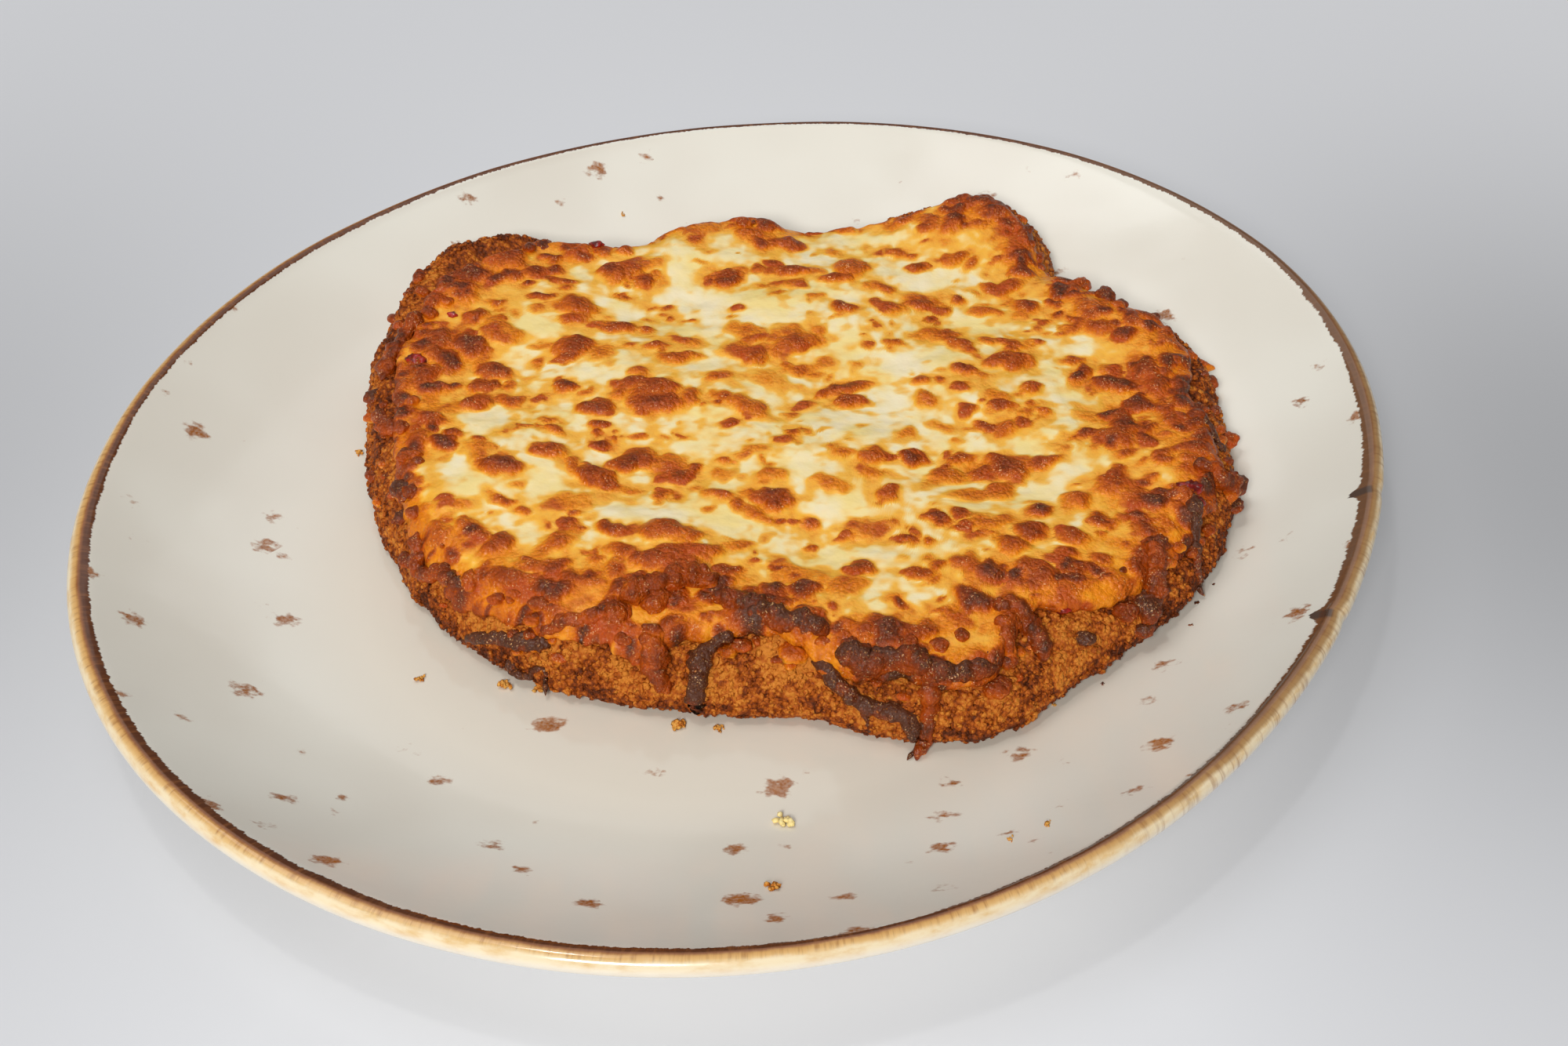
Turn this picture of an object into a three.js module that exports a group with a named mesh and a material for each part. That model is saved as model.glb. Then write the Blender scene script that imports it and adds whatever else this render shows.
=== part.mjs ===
// A breaded cutlet under a layer of melted cheese, on its uneven round stoneware plate.
// Millimetres, +Z up. The foot of the plate stands on z = 0, and the middle of the
// plate's outline is over the origin. Angles run anticlockwise from +X, in degrees.
//
// All three pieces are turned solids whose profile changes with the angle: the plate's
// turns follow its rim, and the cutlet's and the cheese's follow the cutlet's edge.

import * as THREE from 'three';

// ---------------------------------------------------------------- driving sizes

const STEPS_ROUND = 90;

const PLATE = {
  radius: 134.5,
  waves: [
    { count: 2, size: 7.7, turn: 41 },
    { count: 3, size: 1.7, turn: 37 },
    { count: 4, size: 0.7, turn: 32 },
  ],
  rimHeight: 25,
  lipRadius: 2.4,
  wallSlope: 34,
  wellHeight: 6.5,
  wellShare: 0.6,
  wallCurve: 1.7,
  footInner: 0.56,
  footOuter: 0.595,
  footHeight: 2.5,
  footFlare: 0.02,
  recessHeight: 1.6,
  undersideCurve: 1.75,
};

const CUTLET = {
  centre: new THREE.Vector2(11.4, 16),
  radius: 81.3,
  oval: { count: 2, size: 9.8, turn: -14.7 },
  lobes: [
    { name: 'left ear', at: 139, width: 28.6, reach: 14.9 },
    { name: 'dip beside the left ear', at: 122, width: 11.1, reach: -13 },
    { name: 'back peak', at: 99, width: 6.9, reach: 4 },
    { name: 'right ear', at: 59, width: 18.4, reach: 22.3 },
    { name: 'notch beside the right ear', at: 43, width: 4.1, reach: -4.4 },
    { name: 'back right shoulder', at: 20, width: 13.8, reach: 7.4 },
    { name: 'right shoulder', at: -11, width: 29.4, reach: 3.1 },
    { name: 'front right corner', at: -67, width: 14.7, reach: 9.7 },
    { name: 'front left corner', at: -131, width: 34.9, reach: 9.1 },
  ],
  thickness: 15,
  edgeHeight: 2.4,
  undercut: 3.5,
  taper: { mean: 13, swing: 4.5, widest: -50 },
  humps: { size: 0.9, lengthX: 34, lengthY: 27 },
};

const CHEESE = {
  thickness: 2.8,
  thinEdge: 2.2,
  extraGap: 0.1,
  bareEdge: 4,
  bareLobes: [
    { name: 'bare left side', at: 165, width: 22, reach: 4 },
    { name: 'bare left ear', at: 139, width: 14, reach: 7 },
    { name: 'bare back peak', at: 103, width: 6, reach: 3 },
    { name: 'bare top of the right ear', at: 71, width: 7, reach: 6 },
    { name: 'bare side of the right ear', at: 50, width: 7, reach: 4 },
    { name: 'bare right side', at: 6, width: 8, reach: 4 },
    { name: 'hollow at the front right', at: -53, width: 7, reach: 8 },
    { name: 'bare front', at: -98, width: 13, reach: 5 },
    { name: 'drip left of the front', at: -114, width: 5, reach: -2 },
    { name: 'drip right of the front', at: -84, width: 5, reach: -2.5 },
    { name: 'flap at the front left corner', at: -144, width: 14, reach: -2.5 },
  ],
};

// the least air between two pieces that touch
const GAP = 0.3;

// ---------------------------------------------------------------- shared formulas

const radians = THREE.MathUtils.degToRad;

function wave(angle, { count, size, turn }) {
  return size * Math.cos(count * (angle - radians(turn)));
}

// A smooth bump of a given half width round one angle.
function lobe(angle, { at, width, reach }) {
  const away = THREE.MathUtils.euclideanModulo(angle - radians(at) + Math.PI, 2 * Math.PI) - Math.PI;
  const turns = away / radians(width);
  return reach * Math.exp(-turns * turns);
}

function total(items, term) {
  return items.reduce((sum, item) => sum + term(item), 0);
}

function rimRadius(angle) {
  return PLATE.radius + total(PLATE.waves, (item) => wave(angle, item));
}

function cutletRadius(angle) {
  return CUTLET.radius + wave(angle, CUTLET.oval) + total(CUTLET.lobes, (item) => lobe(angle, item));
}

// The breading's bare band between the cheese and the cutlet's edge.
function bareBand(angle) {
  return CHEESE.bareEdge + total(CHEESE.bareLobes, (item) => lobe(angle, item));
}

// A solid turned through a full circle. Each row of the profile is a function of the angle
// that gives a point { x, y, z }; the first and the last row are single points on the axis.
function turned(rows, crossed = false) {
  const profile = rows.map((row, index) => new THREE.Vector2(index, index));
  const geometry = new THREE.LatheGeometry(profile, STEPS_ROUND);
  const position = geometry.attributes.position;
  for (let index = 0; index < position.count; index += 1) {
    const step = Math.floor(index / rows.length) % STEPS_ROUND;
    const angle = (2 * Math.PI * step) / STEPS_ROUND;
    const point = rows[index % rows.length](angle);
    position.setXYZ(index, point.x, point.y, point.z);
  }
  if (crossed) {
    geometry.setIndex(crossedFaces(rows.length));
  }
  geometry.computeVertexNormals();
  return geometry;
}

// The same faces cut along their other diagonal. A crossed underside that shares the rows
// of the piece below it lies parallel to that piece, face by face.
function crossedFaces(rowCount) {
  const index = [];
  for (let step = 0; step < STEPS_ROUND; step += 1) {
    for (let row = 0; row < rowCount - 1; row += 1) {
      const near = step * rowCount + row;
      const far = near + rowCount;
      index.push(near, far, far + 1);
      index.push(near, far + 1, near + 1);
    }
  }
  return index;
}

function steps(count, place) {
  return Array.from({ length: count }, (unused, index) => place((index + 1) / count));
}

// ---------------------------------------------------------------- plate

const wallSlope = radians(PLATE.wallSlope);
const lipHeight = PLATE.rimHeight - PLATE.lipRadius;

// How far in from the rim the lip's round section meets the inside and the outside wall.
const insideMeet = PLATE.lipRadius * (1 + Math.sin(wallSlope));
const outsideMeet = PLATE.lipRadius * (1 - Math.sin(wallSlope));
const meetRise = PLATE.lipRadius * Math.cos(wallSlope);

// Height of the eating surface: a flat well, then a wall that steepens towards the rim.
function wellSurface(share) {
  const wallTop = 1 - insideMeet / PLATE.radius;
  const way = Math.max(0, (share - PLATE.wellShare) / (wallTop - PLATE.wellShare));
  const rise = lipHeight + meetRise - PLATE.wellHeight;
  return PLATE.wellHeight + rise * way ** PLATE.wallCurve;
}

function undersideSurface(share) {
  const start = PLATE.footOuter + PLATE.footFlare;
  const end = 1 - outsideMeet / PLATE.radius;
  const way = (share - start) / (end - start);
  return PLATE.footHeight + (lipHeight - meetRise - PLATE.footHeight) * way ** PLATE.undersideCurve;
}

function plateRow(share, z, inset = 0) {
  return (angle) => {
    const radius = share * rimRadius(angle) - inset;
    return { x: radius * Math.cos(angle), y: radius * Math.sin(angle), z };
  };
}

function lipRow(turn) {
  const inset = PLATE.lipRadius * (1 - Math.cos(turn));
  return plateRow(1, lipHeight + PLATE.lipRadius * Math.sin(turn), inset);
}

function plateGeometry() {
  const flareEnd = PLATE.footOuter + PLATE.footFlare;
  const outsideEnd = 1 - outsideMeet / PLATE.radius;
  const insideEnd = 1 - insideMeet / PLATE.radius;
  const lipStart = wallSlope - Math.PI / 2;
  const outside = steps(5, (way) => THREE.MathUtils.lerp(flareEnd, outsideEnd, way));
  const inside = steps(6, (way) => THREE.MathUtils.lerp(insideEnd, PLATE.wellShare, way));
  return turned([
    plateRow(0, PLATE.recessHeight),
    plateRow(PLATE.footInner - PLATE.footFlare, PLATE.recessHeight),
    plateRow(PLATE.footInner, 0),
    plateRow(PLATE.footOuter, 0),
    plateRow(flareEnd, PLATE.footHeight),
    ...outside.map((share) => plateRow(share, undersideSurface(share))),
    ...steps(5, (way) => lipRow(lipStart + Math.PI * way)),
    ...inside.map((share) => plateRow(share, wellSurface(share))),
    plateRow(0, PLATE.wellHeight),
  ]);
}

// ---------------------------------------------------------------- cutlet

function overCutlet(angle, radius) {
  return {
    x: CUTLET.centre.x + radius * Math.cos(angle),
    y: CUTLET.centre.y + radius * Math.sin(angle),
  };
}

// Height of the cutlet's underside where it lies on the plate.
function bed({ x, y }) {
  return wellSurface(Math.hypot(x, y) / rimRadius(Math.atan2(y, x))) + GAP;
}

// Height of the cutlet's top: full thickness in the middle, with low humps, and a round
// shoulder that falls to the edge. It slopes longest at the front right.
function cutletTop(angle, radius) {
  const place = overCutlet(angle, radius);
  const { mean, swing, widest } = CUTLET.taper;
  const taper = mean + swing * Math.cos(angle - radians(widest));
  const inward = Math.min(1, (cutletRadius(angle) - radius) / taper);
  const shoulder = Math.sqrt(Math.max(0, 1 - (1 - inward) ** 2));
  const { size, lengthX, lengthY } = CUTLET.humps;
  const humps = size * Math.sin(place.x / lengthX * Math.PI) * Math.cos(place.y / lengthY * Math.PI);
  const full = CUTLET.thickness + humps - CUTLET.edgeHeight;
  return bed(place) + CUTLET.edgeHeight + full * shoulder;
}

function cutletTopRow(radiusAt, lift = 0) {
  return (angle) => {
    const radius = radiusAt(angle);
    return { ...overCutlet(angle, radius), z: cutletTop(angle, radius) + lift };
  };
}

function cutletUndersideRow(inset, share = 1) {
  return (angle) => {
    const place = overCutlet(angle, share * (cutletRadius(angle) - inset));
    return { ...place, z: bed(place) };
  };
}

function cheeseRadius(angle) {
  return cutletRadius(angle) - bareBand(angle);
}

function cutletGeometry() {
  const bare = (way) => (angle) => cheeseRadius(angle) + way * bareBand(angle);
  const covered = (way) => (angle) => (1 - way) * cheeseRadius(angle);
  return turned([
    cutletUndersideRow(0, 0),
    cutletUndersideRow(CUTLET.undercut, 0.5),
    cutletUndersideRow(CUTLET.undercut, 0.8),
    cutletUndersideRow(CUTLET.undercut),
    cutletTopRow(bare(1)),
    ...[0.9, 0.7, 0.4, 0].map((way) => cutletTopRow(bare(way))),
    ...steps(6, (way) => cutletTopRow(covered(way))),
  ]);
}

// ---------------------------------------------------------------- cheese

// The melted layer hugs the cutlet's top and ends in a round edge, which hangs out a little.
function cheeseGeometry() {
  const covered = (way) => (angle) => way * cheeseRadius(angle);
  const edge = CHEESE.thinEdge / 2;
  const touch = GAP + CHEESE.extraGap;
  const full = touch + CHEESE.thickness;
  const bulge = (angle) => {
    const place = cutletTopRow(covered(1), touch + edge)(angle);
    return { ...place, ...overCutlet(angle, cheeseRadius(angle) + edge) };
  };
  return turned([
    cutletTopRow(covered(0), touch),
    ...steps(6, (way) => cutletTopRow(covered(way), touch)),
    bulge,
    cutletTopRow(covered(1), touch + CHEESE.thinEdge),
    ...steps(6, (way) => cutletTopRow(covered(1 - way), full)),
  ], true);
}

// ---------------------------------------------------------------- the whole

function piece(name, geometry, colour, roughness) {
  const material = new THREE.MeshStandardMaterial({ color: colour, roughness, metalness: 0 });
  const mesh = new THREE.Mesh(geometry, material);
  mesh.name = name;
  return mesh;
}

const plate = piece('plate', plateGeometry(), '#dcd5c8', 0.25);
const cutlet = piece('cutlet', cutletGeometry(), '#b0651f', 0.8);
const cheese = piece('cheese', cheeseGeometry(), '#e9c98a', 0.45);

const group = new THREE.Group();
group.add(plate, cutlet, cheese);

const middle = new THREE.Box3().setFromObject(plate).getCenter(new THREE.Vector3());
group.position.set(-middle.x, -middle.y, 0);

export default group;
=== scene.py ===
"""A cheese-topped breaded cutlet on its uneven stoneware plate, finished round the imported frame.

The forms below hold their sizes in millimetres, in the plate's own frame: the plate's outline
is drawn round the origin and the table is z = 0. A Placement moves finished points into the
frame's metres, from the box of the CAD plate. Angles run anticlockwise from +X.
"""
import logging
import math
from dataclasses import dataclass, field
from enum import Enum, IntEnum
from typing import Sequence

import bpy
import numpy as np
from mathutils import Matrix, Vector


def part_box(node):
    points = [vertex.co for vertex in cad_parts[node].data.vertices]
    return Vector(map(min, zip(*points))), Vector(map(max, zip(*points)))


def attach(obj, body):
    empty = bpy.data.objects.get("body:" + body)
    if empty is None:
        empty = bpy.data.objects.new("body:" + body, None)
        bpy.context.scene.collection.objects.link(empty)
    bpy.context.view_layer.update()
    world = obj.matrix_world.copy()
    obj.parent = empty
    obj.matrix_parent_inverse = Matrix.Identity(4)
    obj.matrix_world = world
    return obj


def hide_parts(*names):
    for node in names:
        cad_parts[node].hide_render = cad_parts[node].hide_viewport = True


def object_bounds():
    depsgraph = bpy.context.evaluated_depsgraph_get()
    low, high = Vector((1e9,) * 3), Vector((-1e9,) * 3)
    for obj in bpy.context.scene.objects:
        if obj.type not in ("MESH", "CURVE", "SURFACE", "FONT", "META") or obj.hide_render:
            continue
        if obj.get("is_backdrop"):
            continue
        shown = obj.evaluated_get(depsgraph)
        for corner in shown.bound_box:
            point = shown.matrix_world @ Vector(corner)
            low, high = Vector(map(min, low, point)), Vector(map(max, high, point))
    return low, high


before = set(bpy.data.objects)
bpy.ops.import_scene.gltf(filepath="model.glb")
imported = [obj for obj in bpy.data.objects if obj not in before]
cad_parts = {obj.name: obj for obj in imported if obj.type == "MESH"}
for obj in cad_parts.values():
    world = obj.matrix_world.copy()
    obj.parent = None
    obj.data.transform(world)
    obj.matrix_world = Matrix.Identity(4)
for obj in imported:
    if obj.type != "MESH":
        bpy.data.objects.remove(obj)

log = logging.getLogger("schnitzel")

MM = 0.001
TAU = 2 * math.pi
GRAIN_POINTS = 12
LAYER_SHIFT = 37
Array = np.ndarray
Colour = tuple[float, float, float, float]
Triple = tuple[float, float, float]
Piece = bpy.types.Object
Socket = bpy.types.NodeSocket


class Seed(IntEnum):
    """What each table of noise and each run of random draws starts from."""

    RIM = 11
    CRUST = 23
    CRUST_FINE = 24
    GRAIN_PLACES = 31
    GRAIN_SHAPES = 32
    CHEESE_EDGE = 41
    ISLANDS = 52
    ISLAND_OUTLINES = 53
    CHEESE_TOP = 61
    HEAT = 63
    ROPES = 71
    BLISTERS = 73
    BLISTER_BUBBLES = 74
    SAUCE = 75
    FALLEN_CRUMBS = 81
    BURNT_CRUMBS = 83
    CHEESE_CRUMB = 85


# ------------------------------------------------------------------ numbers and noise


def srgb(red: float, green: float, blue: float) -> Colour:
    """Turn a display colour into a shader colour.

    Args:
        red, green, blue: the display values, from 0 to 255.

    Returns:
        The linear red, green and blue, with full opacity.
    """
    shown = np.array([red, green, blue]) / 255
    low = shown / 12.92
    high = ((shown + 0.055) / 1.055) ** 2.4
    linear = np.where(shown <= 0.04045, low, high)
    return (float(linear[0]), float(linear[1]), float(linear[2]), 1.0)


def smooth_step(low: float | Array, high: float | Array, value: Array) -> Array:
    """A soft step: 0 below low, 1 above high, and 3t^2 - 2t^3 in between."""
    way = np.clip((value - low) / (high - low), 0, 1)
    return way * way * (3 - 2 * way)


def joined(first: Array, second: Array) -> Array:
    """The soft union of two coverings from 0 to 1: what neither of them leaves bare."""
    return 1 - (1 - np.clip(first, 0, 1)) * (1 - np.clip(second, 0, 1))


class Noise:
    """Seeded noise over points in space, worked out for whole arrays of points."""

    def __init__(self, seed: int) -> None:
        """Draw the tables of slopes and offsets.

        Args:
            seed: the seed of the draws.
        """
        draw = np.random.default_rng(seed)
        self.order = draw.permutation(256)
        slopes = draw.normal(size=(256, 3))
        self.slopes = slopes / np.linalg.norm(slopes, axis=1, keepdims=True)
        self.offsets = draw.uniform(-1, 1, size=(256, 3))

    def pick(self, cell: Array) -> Array:
        """Look up the seeded table once for each of a cell's three numbers.

        Args:
            cell: whole numbers, three in the last axis.

        Returns:
            A repeatable number from 0 to 255 for each cell.
        """
        first = self.order[cell[..., 0] & 255]
        second = self.order[(first + cell[..., 1]) & 255]
        return self.order[(second + cell[..., 2]) & 255]

    def at(self, points: Array, size: float | Sequence[float]) -> Array:
        """Gradient noise: each cell corner has a slope, and the slopes are blended.

        Args:
            points: the points, with x, y and z in the last axis.
            size: the width of a cell, in all or in each direction.

        Returns:
            Values from about -1 to 1, one for each point.
        """
        place = points / np.asarray(size, float)
        cell = np.floor(place).astype(np.int64)
        part = place - cell
        fade = part ** 3 * (part * (part * 6 - 15) + 10)
        total = np.zeros(points.shape[:-1])
        for corner in np.ndindex(2, 2, 2):
            offset = np.array(corner)
            slope = self.slopes[self.pick(cell + offset)]
            weight = np.prod(np.where(offset == 1, fade, 1 - fade), axis=-1)
            total += weight * ((part - offset) * slope).sum(-1)
        return total * 1.6

    def layered(self, points: Array, size: float, layers: int = 3) -> Array:
        """Gradient noise with finer layers added, each half as wide and half as high."""
        return sum(self.at(points + LAYER_SHIFT * step, size / 2 ** step) / 2 ** step
                   for step in range(layers))

    def pebbles(self, points: Array, size: float) -> Array:
        """Round grains: 1 at the middle of a grain, falling with the distance from it.

        Args:
            points: the points, with x, y and z in the last axis.
            size: the usual distance between grains.

        Returns:
            One minus the distance to the nearest grain, in grains.
        """
        place = points / size
        cell = np.floor(place).astype(np.int64)
        nearest = np.full(points.shape[:-1], 9.0)
        for step in np.ndindex(3, 3, 3):
            other = cell + np.array(step) - 1
            centre = other + 0.5 + 0.42 * self.offsets[self.pick(other)]
            nearest = np.minimum(nearest, ((place - centre) ** 2).sum(-1))
        return 1 - np.sqrt(nearest)


# ------------------------------------------------------------------ outlines shared with the solids


@dataclass(frozen=True)
class Wave:
    """A wave that runs a whole number of times round an outline."""

    count: int
    size: float
    turn: float

    def over(self, angle: Array) -> Array:
        """Its height at each angle: size times the cosine of count turns."""
        return self.size * np.cos(self.count * (angle - math.radians(self.turn)))


@dataclass(frozen=True)
class Lobe:
    """A smooth bump on an outline, round one angle in degrees."""

    at: float
    width: float
    reach: float

    def over(self, angle: Array) -> Array:
        """Its height at each angle: reach times a bell curve of the given half width."""
        away = (angle - math.radians(self.at) + math.pi) % TAU - math.pi
        return self.reach * np.exp(-((away / math.radians(self.width)) ** 2))


def polar(angle: Array, radius: float | Array, height: float | Array,
          centre: tuple[float, float] = (0, 0)) -> Array:
    """Stack points from angle, radius and height round an upright axis.

    Args:
        angle, radius, height: the places, as arrays that can be spread to one shape.
        centre: the x and y of the axis.

    Returns:
        The points, with x, y and z in the last axis.
    """
    x = centre[0] + radius * np.cos(angle)
    y = centre[1] + radius * np.sin(angle)
    return np.stack(np.broadcast_arrays(x, y, height), axis=-1)


@dataclass(frozen=True)
class PlateForm:
    """The plate: its outline, the curve of its wall and the sizes of lip and foot."""

    radius: float = 134.5
    waves: tuple[Wave, ...] = (Wave(2, 7.7, 41), Wave(3, 1.7, 37), Wave(4, 0.7, 32))
    rim_height: float = 25.0
    lip: float = 2.4
    wall_slope: float = math.radians(34)
    well_height: float = 6.5
    well_share: float = 0.6
    wall_curve: float = 1.7
    foot_inner: float = 0.56
    foot_outer: float = 0.595
    foot_height: float = 2.5
    foot_flare: float = 0.02
    recess: float = 1.6
    underside_curve: float = 1.75

    def outline(self, angle: Array) -> Array:
        """The rim's radius: a mean radius plus the waves."""
        return self.radius + sum(wave.over(angle) for wave in self.waves)

    @property
    def lip_height(self) -> float:
        """The height of the middle of the lip's round section."""
        return self.rim_height - self.lip

    @property
    def inside_meet(self) -> float:
        """How far in from the rim the lip meets the inside wall."""
        return self.lip * (1 + math.sin(self.wall_slope))

    @property
    def outside_meet(self) -> float:
        """How far in from the rim the lip meets the outside wall."""
        return self.lip * (1 - math.sin(self.wall_slope))

    def eating_surface(self, share: Array) -> Array:
        """Height of the inside: a flat well, then a wall that rises as a power of the way out.

        Args:
            share: the distance from the middle, as a share of the outline's radius.

        Returns:
            The heights.
        """
        wall_top = 1 - self.inside_meet / self.radius
        way = np.maximum(0, (share - self.well_share) / (wall_top - self.well_share))
        rise = self.lip_height + self.lip * math.cos(self.wall_slope) - self.well_height
        return self.well_height + rise * way ** self.wall_curve

    def underside(self, share: Array) -> Array:
        """Height of the outside wall, from the foot to the lip, as a power of the way out.

        Args:
            share: the distance from the middle, as a share of the outline's radius.

        Returns:
            The heights.
        """
        start = self.foot_outer + self.foot_flare
        end = 1 - self.outside_meet / self.radius
        way = np.clip((share - start) / (end - start), 0, 1)
        rise = self.lip_height - self.lip * math.cos(self.wall_slope) - self.foot_height
        return self.foot_height + rise * way ** self.underside_curve

    def bed(self, x: Array, y: Array) -> Array:
        """Height of the eating surface under a point."""
        return self.eating_surface(np.hypot(x, y) / self.outline(np.arctan2(y, x)))


@dataclass(frozen=True)
class CutletForm:
    """The cutlet's outline and the curve of its top."""

    centre: tuple[float, float] = (11.4, 16.0)
    radius: float = 81.3
    oval: Wave = Wave(2, 9.8, -14.7)
    lobes: tuple[Lobe, ...] = (
        Lobe(139, 28.6, 14.9), Lobe(122, 11.1, -13), Lobe(99, 6.9, 4), Lobe(59, 18.4, 22.3),
        Lobe(43, 4.1, -4.4), Lobe(20, 13.8, 7.4), Lobe(-11, 29.4, 3.1), Lobe(-67, 14.7, 9.7),
        Lobe(-131, 34.9, 9.1),
    )
    thickness: float = 15.0
    edge_height: float = 2.4
    undercut: float = 3.5
    taper_mean: float = 13.0
    taper_swing: float = 4.5
    taper_widest: float = math.radians(-50)
    hump: float = 0.9
    hump_length: tuple[float, float] = (34.0, 27.0)
    gap: float = 0.3

    def outline(self, angle: Array) -> Array:
        """The edge's radius round the cutlet's own centre."""
        return self.radius + self.oval.over(angle) + sum(lobe.over(angle) for lobe in self.lobes)

    def taper(self, angle: Array) -> Array:
        """Width of the sloping shoulder at each angle."""
        return self.taper_mean + self.taper_swing * np.cos(angle - self.taper_widest)

    def place(self, angle: Array, radius: Array) -> tuple[Array, Array]:
        """The x and y of a point at an angle and radius from the cutlet's centre."""
        return self.centre[0] + radius * np.cos(angle), self.centre[1] + radius * np.sin(angle)

    def turned_to(self, x: Array, y: Array) -> tuple[Array, Array]:
        """The angle and radius of a point from the cutlet's centre."""
        east, north = x - self.centre[0], y - self.centre[1]
        return np.arctan2(north, east), np.hypot(east, north)

    def top(self, plate: PlateForm, angle: Array, radius: Array) -> Array:
        """Height of the top: the bed, plus a thickness that falls as a quarter ellipse at the edge.

        Args:
            plate: the plate that it lies on.
            angle, radius: the places, from the cutlet's centre.

        Returns:
            The heights.
        """
        x, y = self.place(angle, radius)
        inward = np.clip((self.outline(angle) - radius) / self.taper(angle), 0, 1)
        shoulder = np.sqrt(1 - (1 - inward) ** 2)
        long, wide = self.hump_length
        hump = self.hump * np.sin(x / long * math.pi) * np.cos(y / wide * math.pi)
        full = self.thickness + hump - self.edge_height
        return plate.bed(x, y) + self.gap + self.edge_height + full * shoulder


@dataclass(frozen=True)
class CheeseForm:
    """The melted layer: its thickness and the bare band that it leaves at the cutlet's edge."""

    thickness: float = 2.8
    bare_edge: float = 4.0
    bare_lobes: tuple[Lobe, ...] = (
        Lobe(165, 22, 4), Lobe(139, 14, 7), Lobe(103, 6, 3), Lobe(71, 7, 6), Lobe(50, 7, 4),
        Lobe(6, 8, 4), Lobe(-53, 7, 8), Lobe(-98, 13, 5), Lobe(-114, 5, -2), Lobe(-84, 5, -2.5),
        Lobe(-144, 14, -2.5),
    )

    def bare_band(self, angle: Array) -> Array:
        """Width of the uncovered breading at each angle."""
        return self.bare_edge + sum(lobe.over(angle) for lobe in self.bare_lobes)

    def skin(self, plate: PlateForm, cutlet: CutletForm, angle: Array, inset: Array) -> Array:
        """Points on what lies on top at an angle and a distance in from the cutlet's edge.

        That is the cheese, the bare shoulder outside it, or a slope down to the plate outside the
        cutlet.

        Args:
            plate, cutlet: what the cheese lies on.
            angle, inset: the places; an inset below 0 is outside the cutlet.

        Returns:
            The points.
        """
        outline = cutlet.outline(angle)
        radius = outline - inset
        x, y = cutlet.place(angle, radius)
        fall = np.clip(1 + np.minimum(inset, 0) / 3.5, 0, 1)
        crust = cutlet.top(plate, angle, np.minimum(radius, outline))
        bed = plate.bed(x, y)
        band = self.bare_band(angle)
        cover = self.thickness * smooth_step(band - 1.5, band + 2.0, inset)
        height = np.where(inset < 0, bed + cutlet.edge_height * fall, crust + cover)
        return np.stack([x, y, height], axis=-1)


PLATE = PlateForm()
CUTLET = CutletForm()
CHEESE = CheeseForm()


# ------------------------------------------------------------------ meshes from arrays


@dataclass(frozen=True)
class Placement:
    """Moves points from the plate's own millimetres to the frame's metres."""

    shift: Array

    @classmethod
    def from_frame(cls) -> "Placement":
        """Find the shift that lays the plate's outline on the box of the CAD plate.

        Returns:
            The placement.
        """
        low, high = (np.array(corner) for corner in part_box("plate"))
        angle = np.linspace(0, TAU, 90, endpoint=False)
        rim = polar(angle, PLATE.outline(angle), 0.0)[:, :2]
        drawn = (rim.min(0) + rim.max(0)) / 2
        middle = (low + high)[:2] / 2
        growth = (high[0] - low[0]) / (np.ptp(rim[:, 0]) * MM)
        log.info("CAD plate is %.4f times the drawn outline", growth)
        return cls(np.array([middle[0] - drawn[0] * MM, middle[1] - drawn[1] * MM, low[2]]))

    def metres(self, points: Array) -> Array:
        """Points in the frame, in metres."""
        return points.reshape(-1, 3) * MM + self.shift


def build_mesh(name: str, points: Array, faces: Sequence[Array],
               attributes: dict[str, Array]) -> Piece:
    """Make an object from whole arrays.

    Args:
        name: the piece's name.
        points: the vertices in metres, one row each.
        faces: arrays of vertex numbers, each array with its own number of corners a face.
        attributes: a value or a vector for every vertex, by name.

    Returns:
        The object, with smooth faces, linked into the scene.
    """
    corners = np.concatenate([part.ravel() for part in faces]).astype(np.int32)
    sizes = np.concatenate([np.full(len(part), part.shape[1]) for part in faces])
    starts = np.concatenate([[0], np.cumsum(sizes)[:-1]]).astype(np.int32)
    mesh = bpy.data.meshes.new(name)
    mesh.vertices.add(len(points))
    mesh.vertices.foreach_set("co", points.astype(np.float32).ravel())
    mesh.loops.add(len(corners))
    mesh.loops.foreach_set("vertex_index", corners)
    mesh.polygons.add(len(sizes))
    mesh.polygons.foreach_set("loop_start", starts)
    mesh.polygons.foreach_set("use_smooth", np.ones(len(sizes), bool))
    mesh.update(calc_edges=True)
    mesh.validate()
    for label, values in attributes.items():
        vector = values.ndim == 2
        layer = mesh.attributes.new(label, "FLOAT_VECTOR" if vector else "FLOAT", "POINT")
        layer.data.foreach_set("vector" if vector else "value", values.astype(np.float32).ravel())
    piece = bpy.data.objects.new(name, mesh)
    bpy.context.scene.collection.objects.link(piece)
    log.info("%s: %d vertices, %d triangles", name, len(points), int((sizes - 2).sum()))
    return piece


def ring_faces(rows: int, columns: int, start: int = 0) -> Array:
    """Quads between rows of points that each close on themselves.

    Args:
        rows, columns: how many rows there are, and how many points in each.
        start: the number of the first point.

    Returns:
        Four vertex numbers for each quad.
    """
    row, column = np.meshgrid(np.arange(rows - 1), np.arange(columns), indexing="ij")
    after = (column + 1) % columns
    here = row * columns
    above = here + columns
    quads = np.stack([here + column, here + after, above + after, above + column], axis=-1)
    return quads.reshape(-1, 4) + start


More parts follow.
